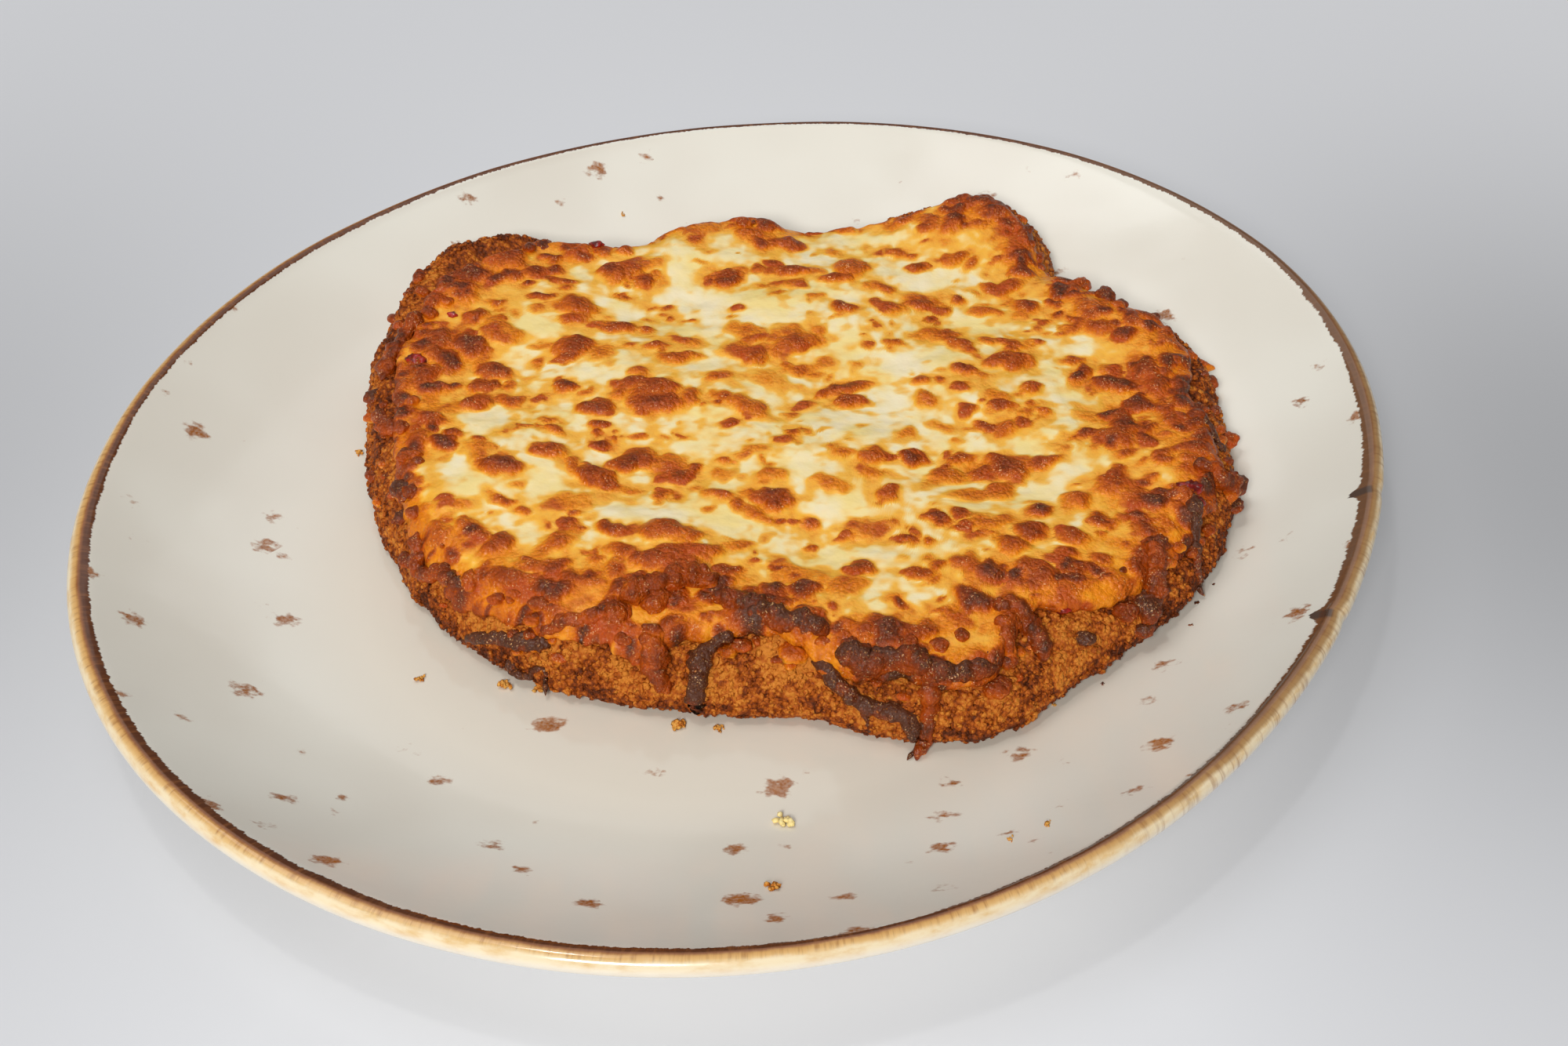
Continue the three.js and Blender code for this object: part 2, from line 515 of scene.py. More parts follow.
def closed_turns(name: str, place: Placement, rings: Array,
                 attributes: dict[str, Array]) -> Piece:
    """Closed bodies from rings of points, with fans to the middles of their first and last rings.

    Args:
        name: the piece's name.
        place: the move to the frame.
        rings: points, bodies by rows by columns; the rows run from under a body outwards and up,
            or along a thread, and the columns turn anticlockwise as seen from the last row.
        attributes: values or vectors for the rings' points.

    Returns:
        All bodies as one object.
    """
    count, rows, columns = rings.shape[:3]
    size = rows * columns
    first = np.arange(columns)
    after = (first + 1) % columns
    last = size - columns
    low = np.stack([np.full(columns, size), after, first], axis=-1)
    high = np.stack([np.full(columns, size + 1), last + first, last + after], axis=-1)
    start = (size + 2) * np.arange(count)[:, None, None]
    parts = (ring_faces(rows, columns), low, high)
    faces = [(part + start).reshape(-1, part.shape[1]) for part in parts]

    def with_ends(values: Array) -> Array:
        """The rings' values with the mean of the first and of the last ring after them.

        Args:
            values: bodies by rows by columns, and a vector or a value for each.

        Returns:
            One row for each vertex.
        """
        flat = values.reshape(count, size, -1)
        ends = np.stack([flat[:, :columns].mean(1), flat[:, -columns:].mean(1)], axis=1)
        return np.concatenate([flat, ends], axis=1).reshape(count * (size + 2), -1)

    values = {}
    for label, value in attributes.items():
        whole = with_ends(value)
        values[label] = whole if whole.shape[1] == 3 else whole[:, 0]
    return build_mesh(name, place.metres(with_ends(rings)), faces, values)


def ball_rings(rows: int, columns: int) -> Array:
    """A ball of radius 1 in rings, from under it to its top.

    Args:
        rows: how many steps its half turn is cut into, the poles left out.
        columns: how many points each ring has.

    Returns:
        Points, rings by columns.
    """
    rise = np.linspace(-math.pi / 2, math.pi / 2, rows)[1:-1, None]
    turn = np.linspace(0, TAU, columns, endpoint=False)
    return polar(turn, np.cos(rise), np.sin(rise))


def grid_normals(points: Array) -> Array:
    """Unit normals of a grid of points: the cross product of the steps along its two directions.

    Args:
        points: rows by columns by 3; the columns close on themselves.

    Returns:
        Normals, of the same shape, facing out of a body whose rings start under it.
    """
    along = np.gradient(points, axis=0)
    across = (np.roll(points, -1, axis=1) - np.roll(points, 1, axis=1)) / 2
    normal = np.cross(across, along)
    length = np.linalg.norm(normal, axis=-1, keepdims=True)
    return normal / np.maximum(length, 1e-9)


def grains(centres: Array, normals: Array, sizes: Array, flatness: float,
           seed: int) -> tuple[Array, Array]:
    """Rough lumps: each is a twenty-sided ball whose corners are pulled in and out at random.

    Args:
        centres: the middle of each lump.
        normals: the direction in which each lump is flattened.
        sizes: the mean radius of each lump.
        flatness: its thickness, as a share of its width.
        seed: the seed of the random pulls.

    Returns:
        The points, 12 for each lump, and the triangles.
    """
    draw = np.random.default_rng(seed)
    golden = (1 + math.sqrt(5)) / 2
    base = np.array([
        (-1, golden, 0), (1, golden, 0), (-1, -golden, 0), (1, -golden, 0),
        (0, -1, golden), (0, 1, golden), (0, -1, -golden), (0, 1, -golden),
        (golden, 0, -1), (golden, 0, 1), (-golden, 0, -1), (-golden, 0, 1),
    ]) / math.hypot(1, golden)
    sides = np.array([
        (0, 11, 5), (0, 5, 1), (0, 1, 7), (0, 7, 10), (0, 10, 11), (1, 5, 9), (5, 11, 4),
        (11, 10, 2), (10, 7, 6), (7, 1, 8), (3, 9, 4), (3, 4, 2), (3, 2, 6), (3, 6, 8),
        (3, 8, 9), (4, 9, 5), (2, 4, 11), (6, 2, 10), (8, 6, 7), (9, 8, 1),
    ])
    count = len(centres)
    shape = base[None] * draw.uniform(0.62, 1.3, size=(count, GRAIN_POINTS, 1))
    shape[..., 0] *= draw.uniform(0.8, 1.6, size=(count, 1))
    shape[..., 2] *= flatness * draw.uniform(0.7, 1.3, size=(count, 1))
    side = draw.normal(size=(count, 3))
    side -= (side * normals).sum(1, keepdims=True) * normals
    side /= np.linalg.norm(side, axis=1, keepdims=True)
    other = np.cross(normals, side)
    axes = np.stack([side, other, normals], axis=1)
    points = centres[:, None] + np.einsum("nki,nij->nkj", shape * sizes[:, None, None], axes)
    faces = sides[None] + GRAIN_POINTS * np.arange(count)[:, None, None]
    return points.reshape(-1, 3), faces.reshape(-1, 3)


# ------------------------------------------------------------------ material graphs


class Graph:
    """One material's node tree, with short calls for the nodes used here."""

    def __init__(self, name: str) -> None:
        """Start an empty tree with an output node.

        Args:
            name: the material's name.
        """
        self.material = bpy.data.materials.new(name)
        self.material.use_nodes = True
        self.tree = self.material.node_tree
        self.tree.nodes.clear()
        self.output = self.tree.nodes.new("ShaderNodeOutputMaterial")

    def node(self, kind: str, inputs: dict, **settings: object) -> bpy.types.Node:
        """Add a node.

        Args:
            kind: the node's type.
            inputs: a number, a colour or a socket to link, by the input's name or place.
            **settings: the node's own properties.

        Returns:
            The node.
        """
        node = self.tree.nodes.new(kind)
        for label, value in settings.items():
            setattr(node, label, value)
        for label, value in inputs.items():
            if isinstance(value, Socket):
                self.tree.links.new(value, node.inputs[label])
            else:
                node.inputs[label].default_value = value
        return node

    def attribute(self, name: str, output: str = "Fac") -> Socket:
        """A mesh attribute of the piece."""
        return self.node("ShaderNodeAttribute", {}, attribute_name=name).outputs[output]

    def place(self, stretch: Triple = (1, 1, 1), turn: float = 0.0) -> Socket:
        """Object coordinates, stretched and turned about Z.

        Args:
            stretch: what each axis is multiplied by.
            turn: the turn in radians.

        Returns:
            The place.
        """
        where = self.node("ShaderNodeTexCoord", {}).outputs["Object"]
        inputs = {"Vector": where, "Scale": stretch, "Rotation": (0, 0, turn)}
        return self.node("ShaderNodeMapping", inputs).outputs[0]

    def stretched(self, vector: Socket, stretch: Triple) -> Socket:
        """A vector with each axis multiplied."""
        return self.node("ShaderNodeMapping", {"Vector": vector, "Scale": stretch}).outputs[0]

    def noise(self, vector: Socket, size: float, detail: float = 2.0,
              roughness: float = 0.5, distortion: float = 0.0) -> Socket:
        """Noise whose features are about size millimetres wide.

        Args:
            vector: where it is looked up.
            size: the width of its features in millimetres.
            detail, roughness: how many finer layers it has, and how strong they are.
            distortion: how far it is pushed about by itself.

        Returns:
            A value from 0 to 1.
        """
        inputs = {"Vector": vector, "Scale": 1 / (size * MM), "Detail": detail,
                  "Roughness": roughness, "Distortion": distortion}
        return self.node("ShaderNodeTexNoise", inputs).outputs["Fac"]

    def waver(self, vector: Socket, size: float, detail: float = 2.0,
              roughness: float = 0.5) -> Socket:
        """The same noise, from -0.5 to 0.5."""
        return self.minus(self.noise(vector, size, detail, roughness), 0.5)

    def cells(self, vector: Socket, size: float, output: str = "Distance") -> Socket:
        """Distance to, or colour of, the nearest of points scattered size millimetres apart."""
        inputs = {"Vector": vector, "Scale": 1 / (size * MM), "Randomness": 1.0}
        return self.node("ShaderNodeTexVoronoi", inputs).outputs[output]

    def math(self, operation: str, first: object, second: object = 0.0) -> Socket:
        """One sum or comparison of numbers."""
        return self.node("ShaderNodeMath", {0: first, 1: second}, operation=operation).outputs[0]

    def plus(self, first: object, second: object) -> Socket:
        """The sum of two numbers."""
        return self.math("ADD", first, second)

    def minus(self, first: object, second: object) -> Socket:
        """The first number less the second."""
        return self.math("SUBTRACT", first, second)

    def times(self, first: object, second: object) -> Socket:
        """The product of two numbers."""
        return self.math("MULTIPLY", first, second)

    def span(self, value: Socket, low: float, high: float,
             start: float = 0.0, end: float = 1.0) -> Socket:
        """A smooth rise from start to end as the value goes from low to high."""
        inputs = {"Value": value, "From Min": low, "From Max": high, "To Min": start, "To Max": end}
        return self.node("ShaderNodeMapRange", inputs, interpolation_type="SMOOTHSTEP").outputs[0]

    def ramp(self, value: Socket, stops: Sequence[tuple[float, Colour]]) -> Socket:
        """A colour for each value, blended between the stops.

        Args:
            value: the value.
            stops: places from 0 to 1, each with its colour.

        Returns:
            The colour.
        """
        node = self.node("ShaderNodeValToRGB", {0: value})
        elements = node.color_ramp.elements
        while len(elements) < len(stops):
            elements.new(0.5)
        for element, (position, colour) in zip(elements, stops):
            element.position = position
            element.color = colour
        return node.outputs["Color"]

    def mix(self, factor: object, first: object, second: object) -> Socket:
        """Two colours mixed by a factor.

        Args:
            factor: 0 for the first colour and 1 for the second.
            first, second: the colours.

        Returns:
            The mixed colour.
        """
        node = self.node("ShaderNodeMix", {}, data_type="RGBA")
        colours = [socket for socket in node.inputs if socket.type == "RGBA"]
        factors = [socket for socket in node.inputs
                   if socket.name == "Factor" and socket.type == "VALUE"]
        for socket, value in zip((factors[0], *colours), (factor, first, second)):
            if isinstance(value, Socket):
                self.tree.links.new(value, socket)
            else:
                socket.default_value = value
        return [socket for socket in node.outputs if socket.type == "RGBA"][0]

    def bump(self, height: Socket, depth: float, below: Socket | None = None,
             strength: float = 1.0) -> Socket:
        """A relief.

        Args:
            height: the height, from 0 to 1 or so.
            depth: how deep the relief is, in millimetres, where the height goes from 0 to 1.
            below: the normal of a relief that this one lies on.
            strength: how much of it is felt.

        Returns:
            The normal.
        """
        inputs = {"Height": height, "Distance": depth * MM, "Strength": strength}
        if below is not None:
            inputs["Normal"] = below
        return self.node("ShaderNodeBump", inputs).outputs[0]

    def finish(self, **inputs: object) -> bpy.types.Material:
        """Close the tree with a surface shader.

        Args:
            **inputs: the shader's inputs, with underscores for the spaces in their names.

        Returns:
            The material.
        """
        named = {label.replace("_", " "): value for label, value in inputs.items()}
        shader = self.node("ShaderNodeBsdfPrincipled", named)
        self.tree.links.new(shader.outputs[0], self.output.inputs["Surface"])
        return self.material


# ------------------------------------------------------------------ finishes


@dataclass(frozen=True)
class GlazeFinish:
    """Warm white glaze with taupe speckles, and a brown fringe that fades to cream on the lip."""

    ground: Colour = srgb(239, 235, 223)
    # painted shade: a darker, warmer white for the well, though the glaze is the wall's white all
    # over
    well: Colour = srgb(224, 215, 199)
    shade: Colour = srgb(221, 213, 199)
    speck: Colour = srgb(180, 110, 44)
    speck_dark: Colour = srgb(132, 70, 22)
    fringe: Colour = srgb(96, 52, 25)
    rust: Colour = srgb(150, 92, 48)
    taupe: Colour = srgb(128, 94, 66)
    mark: Colour = srgb(84, 64, 52)
    amber: Colour = srgb(214, 164, 100)
    honey: Colour = srgb(230, 190, 128)
    cream: Colour = srgb(246, 228, 192)
    white: Colour = srgb(249, 241, 226)
    speck_spacing: float = 8.6

    def material(self) -> bpy.types.Material:
        """The glaze, driven by the distance from the lip's crest and by place on the plate.

        Returns:
            The material.
        """
        graph = Graph("speckled_glaze")
        place = graph.place()
        edge = graph.attribute("crest")
        around = graph.attribute("ring", "Vector")
        mark = graph.attribute("mark")
        teeth = graph.waver(graph.stretched(around, (1, 1, 0.15)), 0.9, 3, 0.65)
        wander = graph.waver(around, 8, 3)
        inner = graph.plus(edge, graph.plus(graph.times(teeth, 2.0), graph.times(wander, 1.2)))
        inner = graph.minus(inner, graph.times(mark, 2.6))
        along = graph.plus(edge, graph.plus(graph.times(teeth, 0.5), graph.times(wander, 1.0)))
        band = self.band(graph, edge, around, along)
        marked = graph.times(graph.span(mark, 0.3, 0.75), graph.span(edge, -0.6, 0.6))
        band = graph.mix(marked, band, self.mark)
        covered = graph.times(graph.span(inner, 2.55, 2.2), graph.span(edge, -7.0, -4.6))
        colour = graph.mix(covered, self.speckled(graph, place), band)
        smear = graph.noise(graph.place((1, 2.5, 1), 0.6), 16, 3, 0.6, 0.6)
        roughness = graph.span(smear, 0.45, 0.72, 0.1, 0.22)
        pit = graph.noise(place, 2.6, 2)
        return graph.finish(Base_Color=colour, Roughness=roughness, IOR=1.5,
                            Normal=graph.bump(pit, 0.03, strength=0.6))

    def speckled(self, graph: Graph, place: Socket) -> Socket:
        """The white of the wall and the warmer, darker white of the well, mottled and speckled; the
        well's white is painted shade and painted warm bounce light.

        Args:
            graph: the material's tree.
            place: Object coordinates.

        Returns:
            The colour.
        """
        flat = graph.place((1, 1, 0))
        out = graph.node("ShaderNodeVectorMath", {0: flat}, operation="LENGTH").outputs["Value"]
        # painted shade: towards the middle the glaze turns to the well's darker, warmer white
        ground = graph.mix(graph.span(out, 0.075, 0.105), self.well, self.ground)
        broad = graph.noise(place, 55, 2)
        ground = graph.mix(graph.span(broad, 0.35, 0.65, 0.0, 0.5), ground, self.shade)
        speck = graph.mix(graph.noise(place, 2.2, 2), self.speck, self.speck_dark)
        return graph.mix(self.speckles(graph, place), ground, speck)

    def band(self, graph: Graph, edge: Socket, around: Socket, along: Socket) -> Socket:
        """The lip: cream outside, then honey, amber and rust to the brown fringe inside.

        Args:
            graph: the material's tree.
            edge: millimetres in from the crest, less than 0 outside it.
            around: a place along the lip and across it.
            along: the same as edge, made uneven.

        Returns:
            The colour.
        """
        mottle = graph.noise(graph.stretched(around, (0.4, 0.4, 1.0)), 2.2, 4, 0.6)
        lip = graph.mix(graph.span(mottle, 0.36, 0.78), self.cream, self.honey)
        lip = graph.mix(graph.span(edge, -2.2, -4.2, 0.0, 0.8), lip, self.white)
        brown = graph.ramp(graph.span(along, -1.6, 1.7), (
            (0.0, self.honey), (0.34, self.amber), (0.6, self.rust), (0.86, self.fringe),
            (1.0, self.fringe)))
        streaks = graph.noise(graph.stretched(around, (1, 1, 0.12)), 1.1, 3, 0.6)
        streaked = graph.span(streaks, 0.45, 0.75, 0.0, 0.6)
        brown = graph.mix(streaked, brown, self.rust)
        side = graph.node("ShaderNodeSeparateXYZ", {0: around})
        right = graph.span(side.outputs[0], 0.05, 0.11, 0.0, 0.6)
        brown = graph.mix(right, brown, self.taupe)
        lip = graph.mix(graph.times(graph.times(right, streaked), 1.6), lip, self.rust)
        return graph.mix(graph.span(along, -1.9, -0.8), lip, brown)

    def speckles(self, graph: Graph, place: Socket) -> Socket:
        """Ragged blotches: some scattered cells are blotched, and fine streaks break them up.

        Args:
            graph: the material's tree.
            place: Object coordinates.

        Returns:
            How strongly each place is blotched, from 0 to 1.
        """
        stretched = graph.place((0.72, 1.0, 1.0), 0.15)
        away = graph.cells(stretched, self.speck_spacing)
        choice = graph.cells(stretched, self.speck_spacing, "Color")
        chosen = graph.node("ShaderNodeSeparateColor", {0: choice})
        near = graph.minus(graph.times(chosen.outputs[0], 0.3), away)
        streaks = graph.waver(graph.place((0.8, 1.15, 1), 0.35), 1.9, 3, 0.55)
        ragged = graph.plus(near, graph.times(streaks, 0.62))
        grouped = graph.span(graph.noise(place, 45, 1), 0.35, 0.7, 0.56, 0.14)
        few = graph.math("GREATER_THAN", chosen.outputs[1], grouped)
        strength = graph.span(graph.noise(place, 0.7, 2), 0.3, 0.7, 0.75, 1.0)
        return graph.times(graph.times(graph.span(ragged, -0.03, 0.13), few), strength)


@dataclass(frozen=True)
class CrustFinish:
    """Fried crumb: golden on the tips, orange-brown between, dark at the foot. The golden grain
    middles are partly painted highlight, and the dark gaps between grains are painted shade.
    """

    golden: Colour = srgb(212, 130, 46)
    orange: Colour = srgb(182, 92, 24)
    brown: Colour = srgb(130, 58, 16)
    dark: Colour = srgb(84, 38, 15)
    crumb_size: float = 0.85

    def material(self, name: str) -> bpy.types.Material:
        """The crumb, driven by how far each place is baked and by painted shade in the gaps between
        its grains.

        Args:
            name: the material's name.

        Returns:
            The material.
        """
        graph = Graph(name)
        place = graph.place()
        bake_and_shade = graph.attribute("bake_and_shade")
        fine = graph.waver(place, 0.8, 3, 0.7)
        # painted shade: gap rises towards the edge of each grain's cell, so the gaps between grains
        # are painted darker and their middles golden as a painted highlight
        gap = graph.minus(graph.cells(place, self.crumb_size), 0.42)
        tones = graph.cells(place, self.crumb_size, "Color")
        tone = graph.node("ShaderNodeSeparateColor", {0: tones}).outputs[0]
        uneven = graph.times(graph.minus(tone, 0.5), 0.42)
        level = graph.plus(bake_and_shade, graph.plus(uneven, graph.times(fine, 0.9)))
        # the gaps' painted shade darkens the level
        level = graph.plus(level, graph.times(gap, 0.5))
        colour = graph.ramp(level, (
            (0.0, self.golden), (0.35, self.orange), (0.68, self.brown), (1.0, self.dark)))
        grain = graph.minus(graph.times(fine, 1.1), gap)
        return graph.finish(Base_Color=colour, Roughness=0.5, Specular_IOR_Level=0.16,
                            Normal=graph.bump(grain, 0.42))


@dataclass(frozen=True)
class CheeseFinish:
    """Melted cheese: cream, yellow, orange and brown as it is toasted, and dark where burnt."""

    cream: Colour = srgb(250, 233, 194)
    butter: Colour = srgb(250, 222, 144)
    yellow: Colour = srgb(248, 184, 64)
    orange: Colour = srgb(234, 138, 22)
    tawny: Colour = srgb(204, 98, 12)
    brown: Colour = srgb(166, 68, 6)
    dark: Colour = srgb(126, 50, 12)
    burnt: Colour = srgb(86, 46, 28)
    painted_glint_fleck: Colour = srgb(232, 140, 62)
    # painted highlights: pale orange flecks and bright points that stand in for glints of fat
    stain: Colour = srgb(176, 64, 18)
    painted_glint: Colour = srgb(248, 200, 140)
    bubble_size: float = 0.95

    def material(self) -> bpy.types.Material:
        """The cheese, driven by how far each place is toasted.

        Returns:
            The material.
        """
        graph = Graph("melted_cheese")
        place = graph.place()
        toast = graph.attribute("toast")
        grain = graph.waver(place, 0.7, 3, 0.65)
        held = graph.span(toast, 0.12, 0.55)
        level = graph.plus(toast, graph.times(graph.times(grain, 0.45), held))
        colour = self.colour(graph, place, toast, level)
        bubble = graph.times(graph.cells(place, self.bubble_size), -1.0)
        relief = graph.times(graph.plus(bubble, grain), held)
        soft = graph.bump(graph.noise(place, 2.6, 2), 0.2)
        normal = graph.bump(relief, 0.36, soft)
        roughness = graph.span(toast, 0.1, 0.8, 0.34, 0.42)
        return graph.finish(Base_Color=colour, Roughness=roughness, IOR=1.46,
                            Specular_IOR_Level=0.05, Subsurface_Weight=0.15,
                            Subsurface_Radius=(1.0, 0.6, 0.3), Subsurface_Scale=0.001,
                            Coat_Weight=0.5, Coat_Roughness=0.14,
                            Normal=normal, Coat_Normal=normal)

    def colour(self, graph: Graph, place: Socket, toast: Socket, level: Socket) -> Socket:
        """The browning, with red stains, and with pale orange flecks and small bright points that
        are painted highlights: glints of fat painted into the colour.

        Args:
            graph: the material's tree.
            place: Object coordinates.
            toast: how far each place is toasted.
            level: the same, made uneven by a fine grain.

        Returns:
            The colour.
        """
        mottle = graph.span(graph.noise(place, 13, 3), 0.38, 0.66)
        cream = graph.mix(mottle, self.cream, self.butter)
        toasted = graph.ramp(graph.times(level, 0.8), (
            (0.07, self.butter), (0.16, self.yellow), (0.3, self.orange), (0.45, self.tawny),
            (0.6, self.brown), (0.78, self.dark), (0.93, self.burnt)))
        colour = graph.mix(graph.span(level, 0.02, 0.2), cream, toasted)
        patches = graph.span(graph.noise(place, 8.5, 2), 0.5, 0.64, 0.0, 0.75)
        half_done = graph.times(graph.span(toast, 0.28, 0.42), graph.span(toast, 0.78, 0.6))
        colour = graph.mix(graph.times(patches, half_done), colour, self.stain)
        # painted highlight: pale orange flecks on the toasted parts stand in for glints
        painted_glint_flecks = graph.span(graph.noise(place, 0.55, 2, 0.6), 0.6, 0.74, 0.0, 0.5)
        colour = graph.mix(graph.times(painted_glint_flecks, graph.span(toast, 0.4, 0.7)), colour, self.painted_glint_fleck)
        # painted highlight: small bright points in clusters stand in for glints of fat
        painted_glint = graph.times(graph.span(graph.noise(place, 0.4, 1), 0.63, 0.72),
                            graph.span(graph.noise(place, 2.6, 1), 0.42, 0.62, 0.0, 0.7))
        return graph.mix(graph.times(painted_glint, graph.span(toast, 0.38, 0.6)), colour, self.painted_glint)


@dataclass(frozen=True)
class SauceFinish:
    """Baked tomato sauce, wet and deep red."""

    red: Colour = srgb(168, 28, 12)
    dark: Colour = srgb(96, 14, 8)

    def material(self) -> bpy.types.Material:
        """The sauce, mottled from red to dark red.

        Returns:
            The material.
        """
        graph = Graph("tomato_sauce")
        place = graph.place()
        mottle = graph.span(graph.noise(place, 2.0, 3), 0.4, 0.62)
        colour = graph.mix(mottle, self.red, self.dark)
        normal = graph.bump(graph.noise(place, 0.9, 2), 0.2)
        return graph.finish(Base_Color=colour, Roughness=0.3, Coat_Weight=0.4, Coat_Roughness=0.12,
                            Normal=normal, Coat_Normal=normal)


@dataclass(frozen=True)
class TableFinish:
    """The plain pale table, which glows a little: painted light that lifts its shade, as if it were
    backlit acrylic.
    """

    colour: Colour = srgb(192, 193, 196)
    # painted light: the table emits its own colour, which lifts the shade round the plate
    glow: float = 0.44
    # painted shadows round the plate, each x, y, width in millimetres and depth; a depth below 0 is
    # a painted pool of light
    painted_shade_and_light: tuple[tuple[float, float, float, float], ...] = (
        (190, 20, 125, 0.43), (-215, 20, 140, 0.33), (0, 300, 260, 0.08), (-210, 230, 120, 0.04),
        (0, -165, 70, -0.3),
    )

    def material(self) -> bpy.types.Material:
        """A smooth pale surface with painted shadows that dim it softly round a few places beside
        the plate, and a painted pool of light that brightens it before the plate's front.

        Returns:
            The material.
        """
        graph = Graph("pale_table")
        where = graph.node("ShaderNodeSeparateXYZ", {0: graph.place()})
        painted_shading = 1.0
        # painted shade: each spot dims the table by a bell curve
        for x, y, width, depth in self.painted_shade_and_light:
            across = graph.math("DIVIDE", graph.minus(where.outputs[0], x * MM), width * MM)
            along = graph.math("DIVIDE", graph.minus(where.outputs[1], y * MM), width * MM)
            away = graph.plus(graph.times(across, across), graph.times(along, along))
            fall = graph.math("EXPONENT", graph.times(away, -1.0))
            painted_shading = graph.minus(painted_shading, graph.times(fall, depth))
        # the painted glow is dimmed along with the painted shadows
        strength = graph.times(painted_shading, self.glow)
        colour = graph.mix(painted_shading, (0.0, 0.0, 0.0, 1.0), self.colour)
        return graph.finish(Base_Color=colour, Roughness=0.35, Specular_IOR_Level=0.4,
                            Emission_Color=self.colour, Emission_Strength=strength)


def dress(piece: Piece, material: bpy.types.Material, slot: str, *nodes: str) -> None:
    """Give a piece its material and its body, and let it stand for CAD nodes.

    Args:
        piece: the piece.
        material: its material.
        slot: the name of a material slot; not used.
        *nodes: the CAD nodes that it replaces.
    """
    piece.data.materials.append(material)
    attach(piece, "root")
    if nodes:
        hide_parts(*nodes)


# ------------------------------------------------------------------ plate


@dataclass
class Plate:
    """The plate, made finer than its solid: rounded foot, wavering rim and two pinched places."""

    place: Placement
    columns: int = 720
    outside_rows: int = 26
    lip_rows: int = 26
    inside_rows: int = 30
    well_rows: int = 18
    rim_waver: float = 0.3
    pinches: tuple[Lobe, ...] = (Lobe(-3.9, 0.7, 0.3), Lobe(-21.7, 0.8, 0.38))
    marks: tuple[Lobe, ...] = (Lobe(-4.3, 0.6, 1.0), Lobe(-22.2, 0.7, 1.0))
    fringe_widths: tuple[Lobe, ...] = (Lobe(-10, 20, 0.3), Lobe(92, 62, -0.6), Lobe(-78, 7, -0.35),
                                       Lobe(172, 16, -0.2))
    fringe_shifts: tuple[Lobe, ...] = (Lobe(92, 54, 1.5), Lobe(33, 17, 0.7))
    finish: GlazeFinish = GlazeFinish()

    def profile(self) -> tuple[Array, Array, Array, Array]:
        """The plate's section: share of the outline, inset from it, height and way from the crest.

        Returns:
            Four arrays with a value for each row, from the underside's middle to the well's.
        """
        form = PLATE
        flare = form.foot_outer + form.foot_flare
        inner, outer = form.foot_inner, form.foot_outer
        foot = np.array([
            (0.2, form.recess), (0.4, form.recess), (0.5, form.recess), (inner - 0.02, form.recess),
            (inner - 0.006, 1.2), (inner - 0.003, 0.3), (inner, 0.0),
            (outer, 0.0), (outer + 0.003, 0.3), (outer + 0.006, 1.6),
        ])
        outside = np.linspace(flare, 1 - form.outside_meet / form.radius, self.outside_rows)
        low, high = form.wall_slope - math.pi / 2, form.wall_slope + math.pi / 2
        turn = np.linspace(low, high, self.lip_rows)[1:-1]
        inside = np.linspace(1 - form.inside_meet / form.radius, form.well_share, self.inside_rows)
        well = np.linspace(form.well_share, 0, self.well_rows)[1:-1]
        share = np.concatenate([foot[:, 0], outside, np.ones_like(turn), inside, well])
        inset = np.concatenate([
            np.zeros(len(foot) + len(outside)), form.lip * (1 - np.cos(turn)),
            np.zeros(len(inside) + len(well))])
        height = np.concatenate([
            foot[:, 1], form.underside(outside), form.lip_height + form.lip * np.sin(turn),
            form.eating_surface(inside), np.full(len(well), form.well_height)])
        across = share * form.radius - inset
        steps = np.hypot(np.diff(across, prepend=across[0]), np.diff(height, prepend=height[0]))
        way = np.cumsum(steps)
        return share, inset, height, way - way[np.argmax(height)]

    def build(self) -> Piece:
        """Turn the section round the outline, with a slow waver at the rim and the pinches.

        Returns:
            The plate.
        """
        share, inset, height, way = self.profile()
        angle = np.linspace(0, TAU, self.columns, endpoint=False)
        noise = Noise(Seed.RIM)
        ring = polar(angle, np.full_like(angle, PLATE.radius), 0.0)
        near_rim = smooth_step(0.86, 1.0, share)[:, None]
        waver = self.rim_waver * noise.layered(ring, 60, 2)
        pinch = sum(lobe.over(angle) for lobe in self.pinches)
        radius = share[:, None] * PLATE.outline(angle) - inset[:, None]
        radius = radius - near_rim * (pinch + 0.5 * np.abs(waver))
        tall = height[:, None] + near_rim * (np.minimum(waver, 0) - 0.35 * pinch)
        points = polar(angle[None], radius, tall)
        around = MM * np.stack(np.broadcast_arrays(ring[:, 0], ring[:, 1], way[:, None]), axis=-1)
        width = 1 + sum(lobe.over(angle) for lobe in self.fringe_widths)
        mark = np.broadcast_to(sum(lobe.over(angle) for lobe in self.marks), radius.shape)
        crest = np.where(way[:, None] > 0, way[:, None] / width, way[:, None])
        crest = crest + sum(lobe.over(angle) for lobe in self.fringe_shifts)
        return closed_turns("stoneware_plate", self.place, points[None],
                            {"crest": crest, "ring": around, "mark": mark})

    def dress(self, piece: Piece) -> None:
        """Glaze the plate."""
        dress(piece, self.finish.material(), "glaze", "plate")


# ------------------------------------------------------------------ cutlet


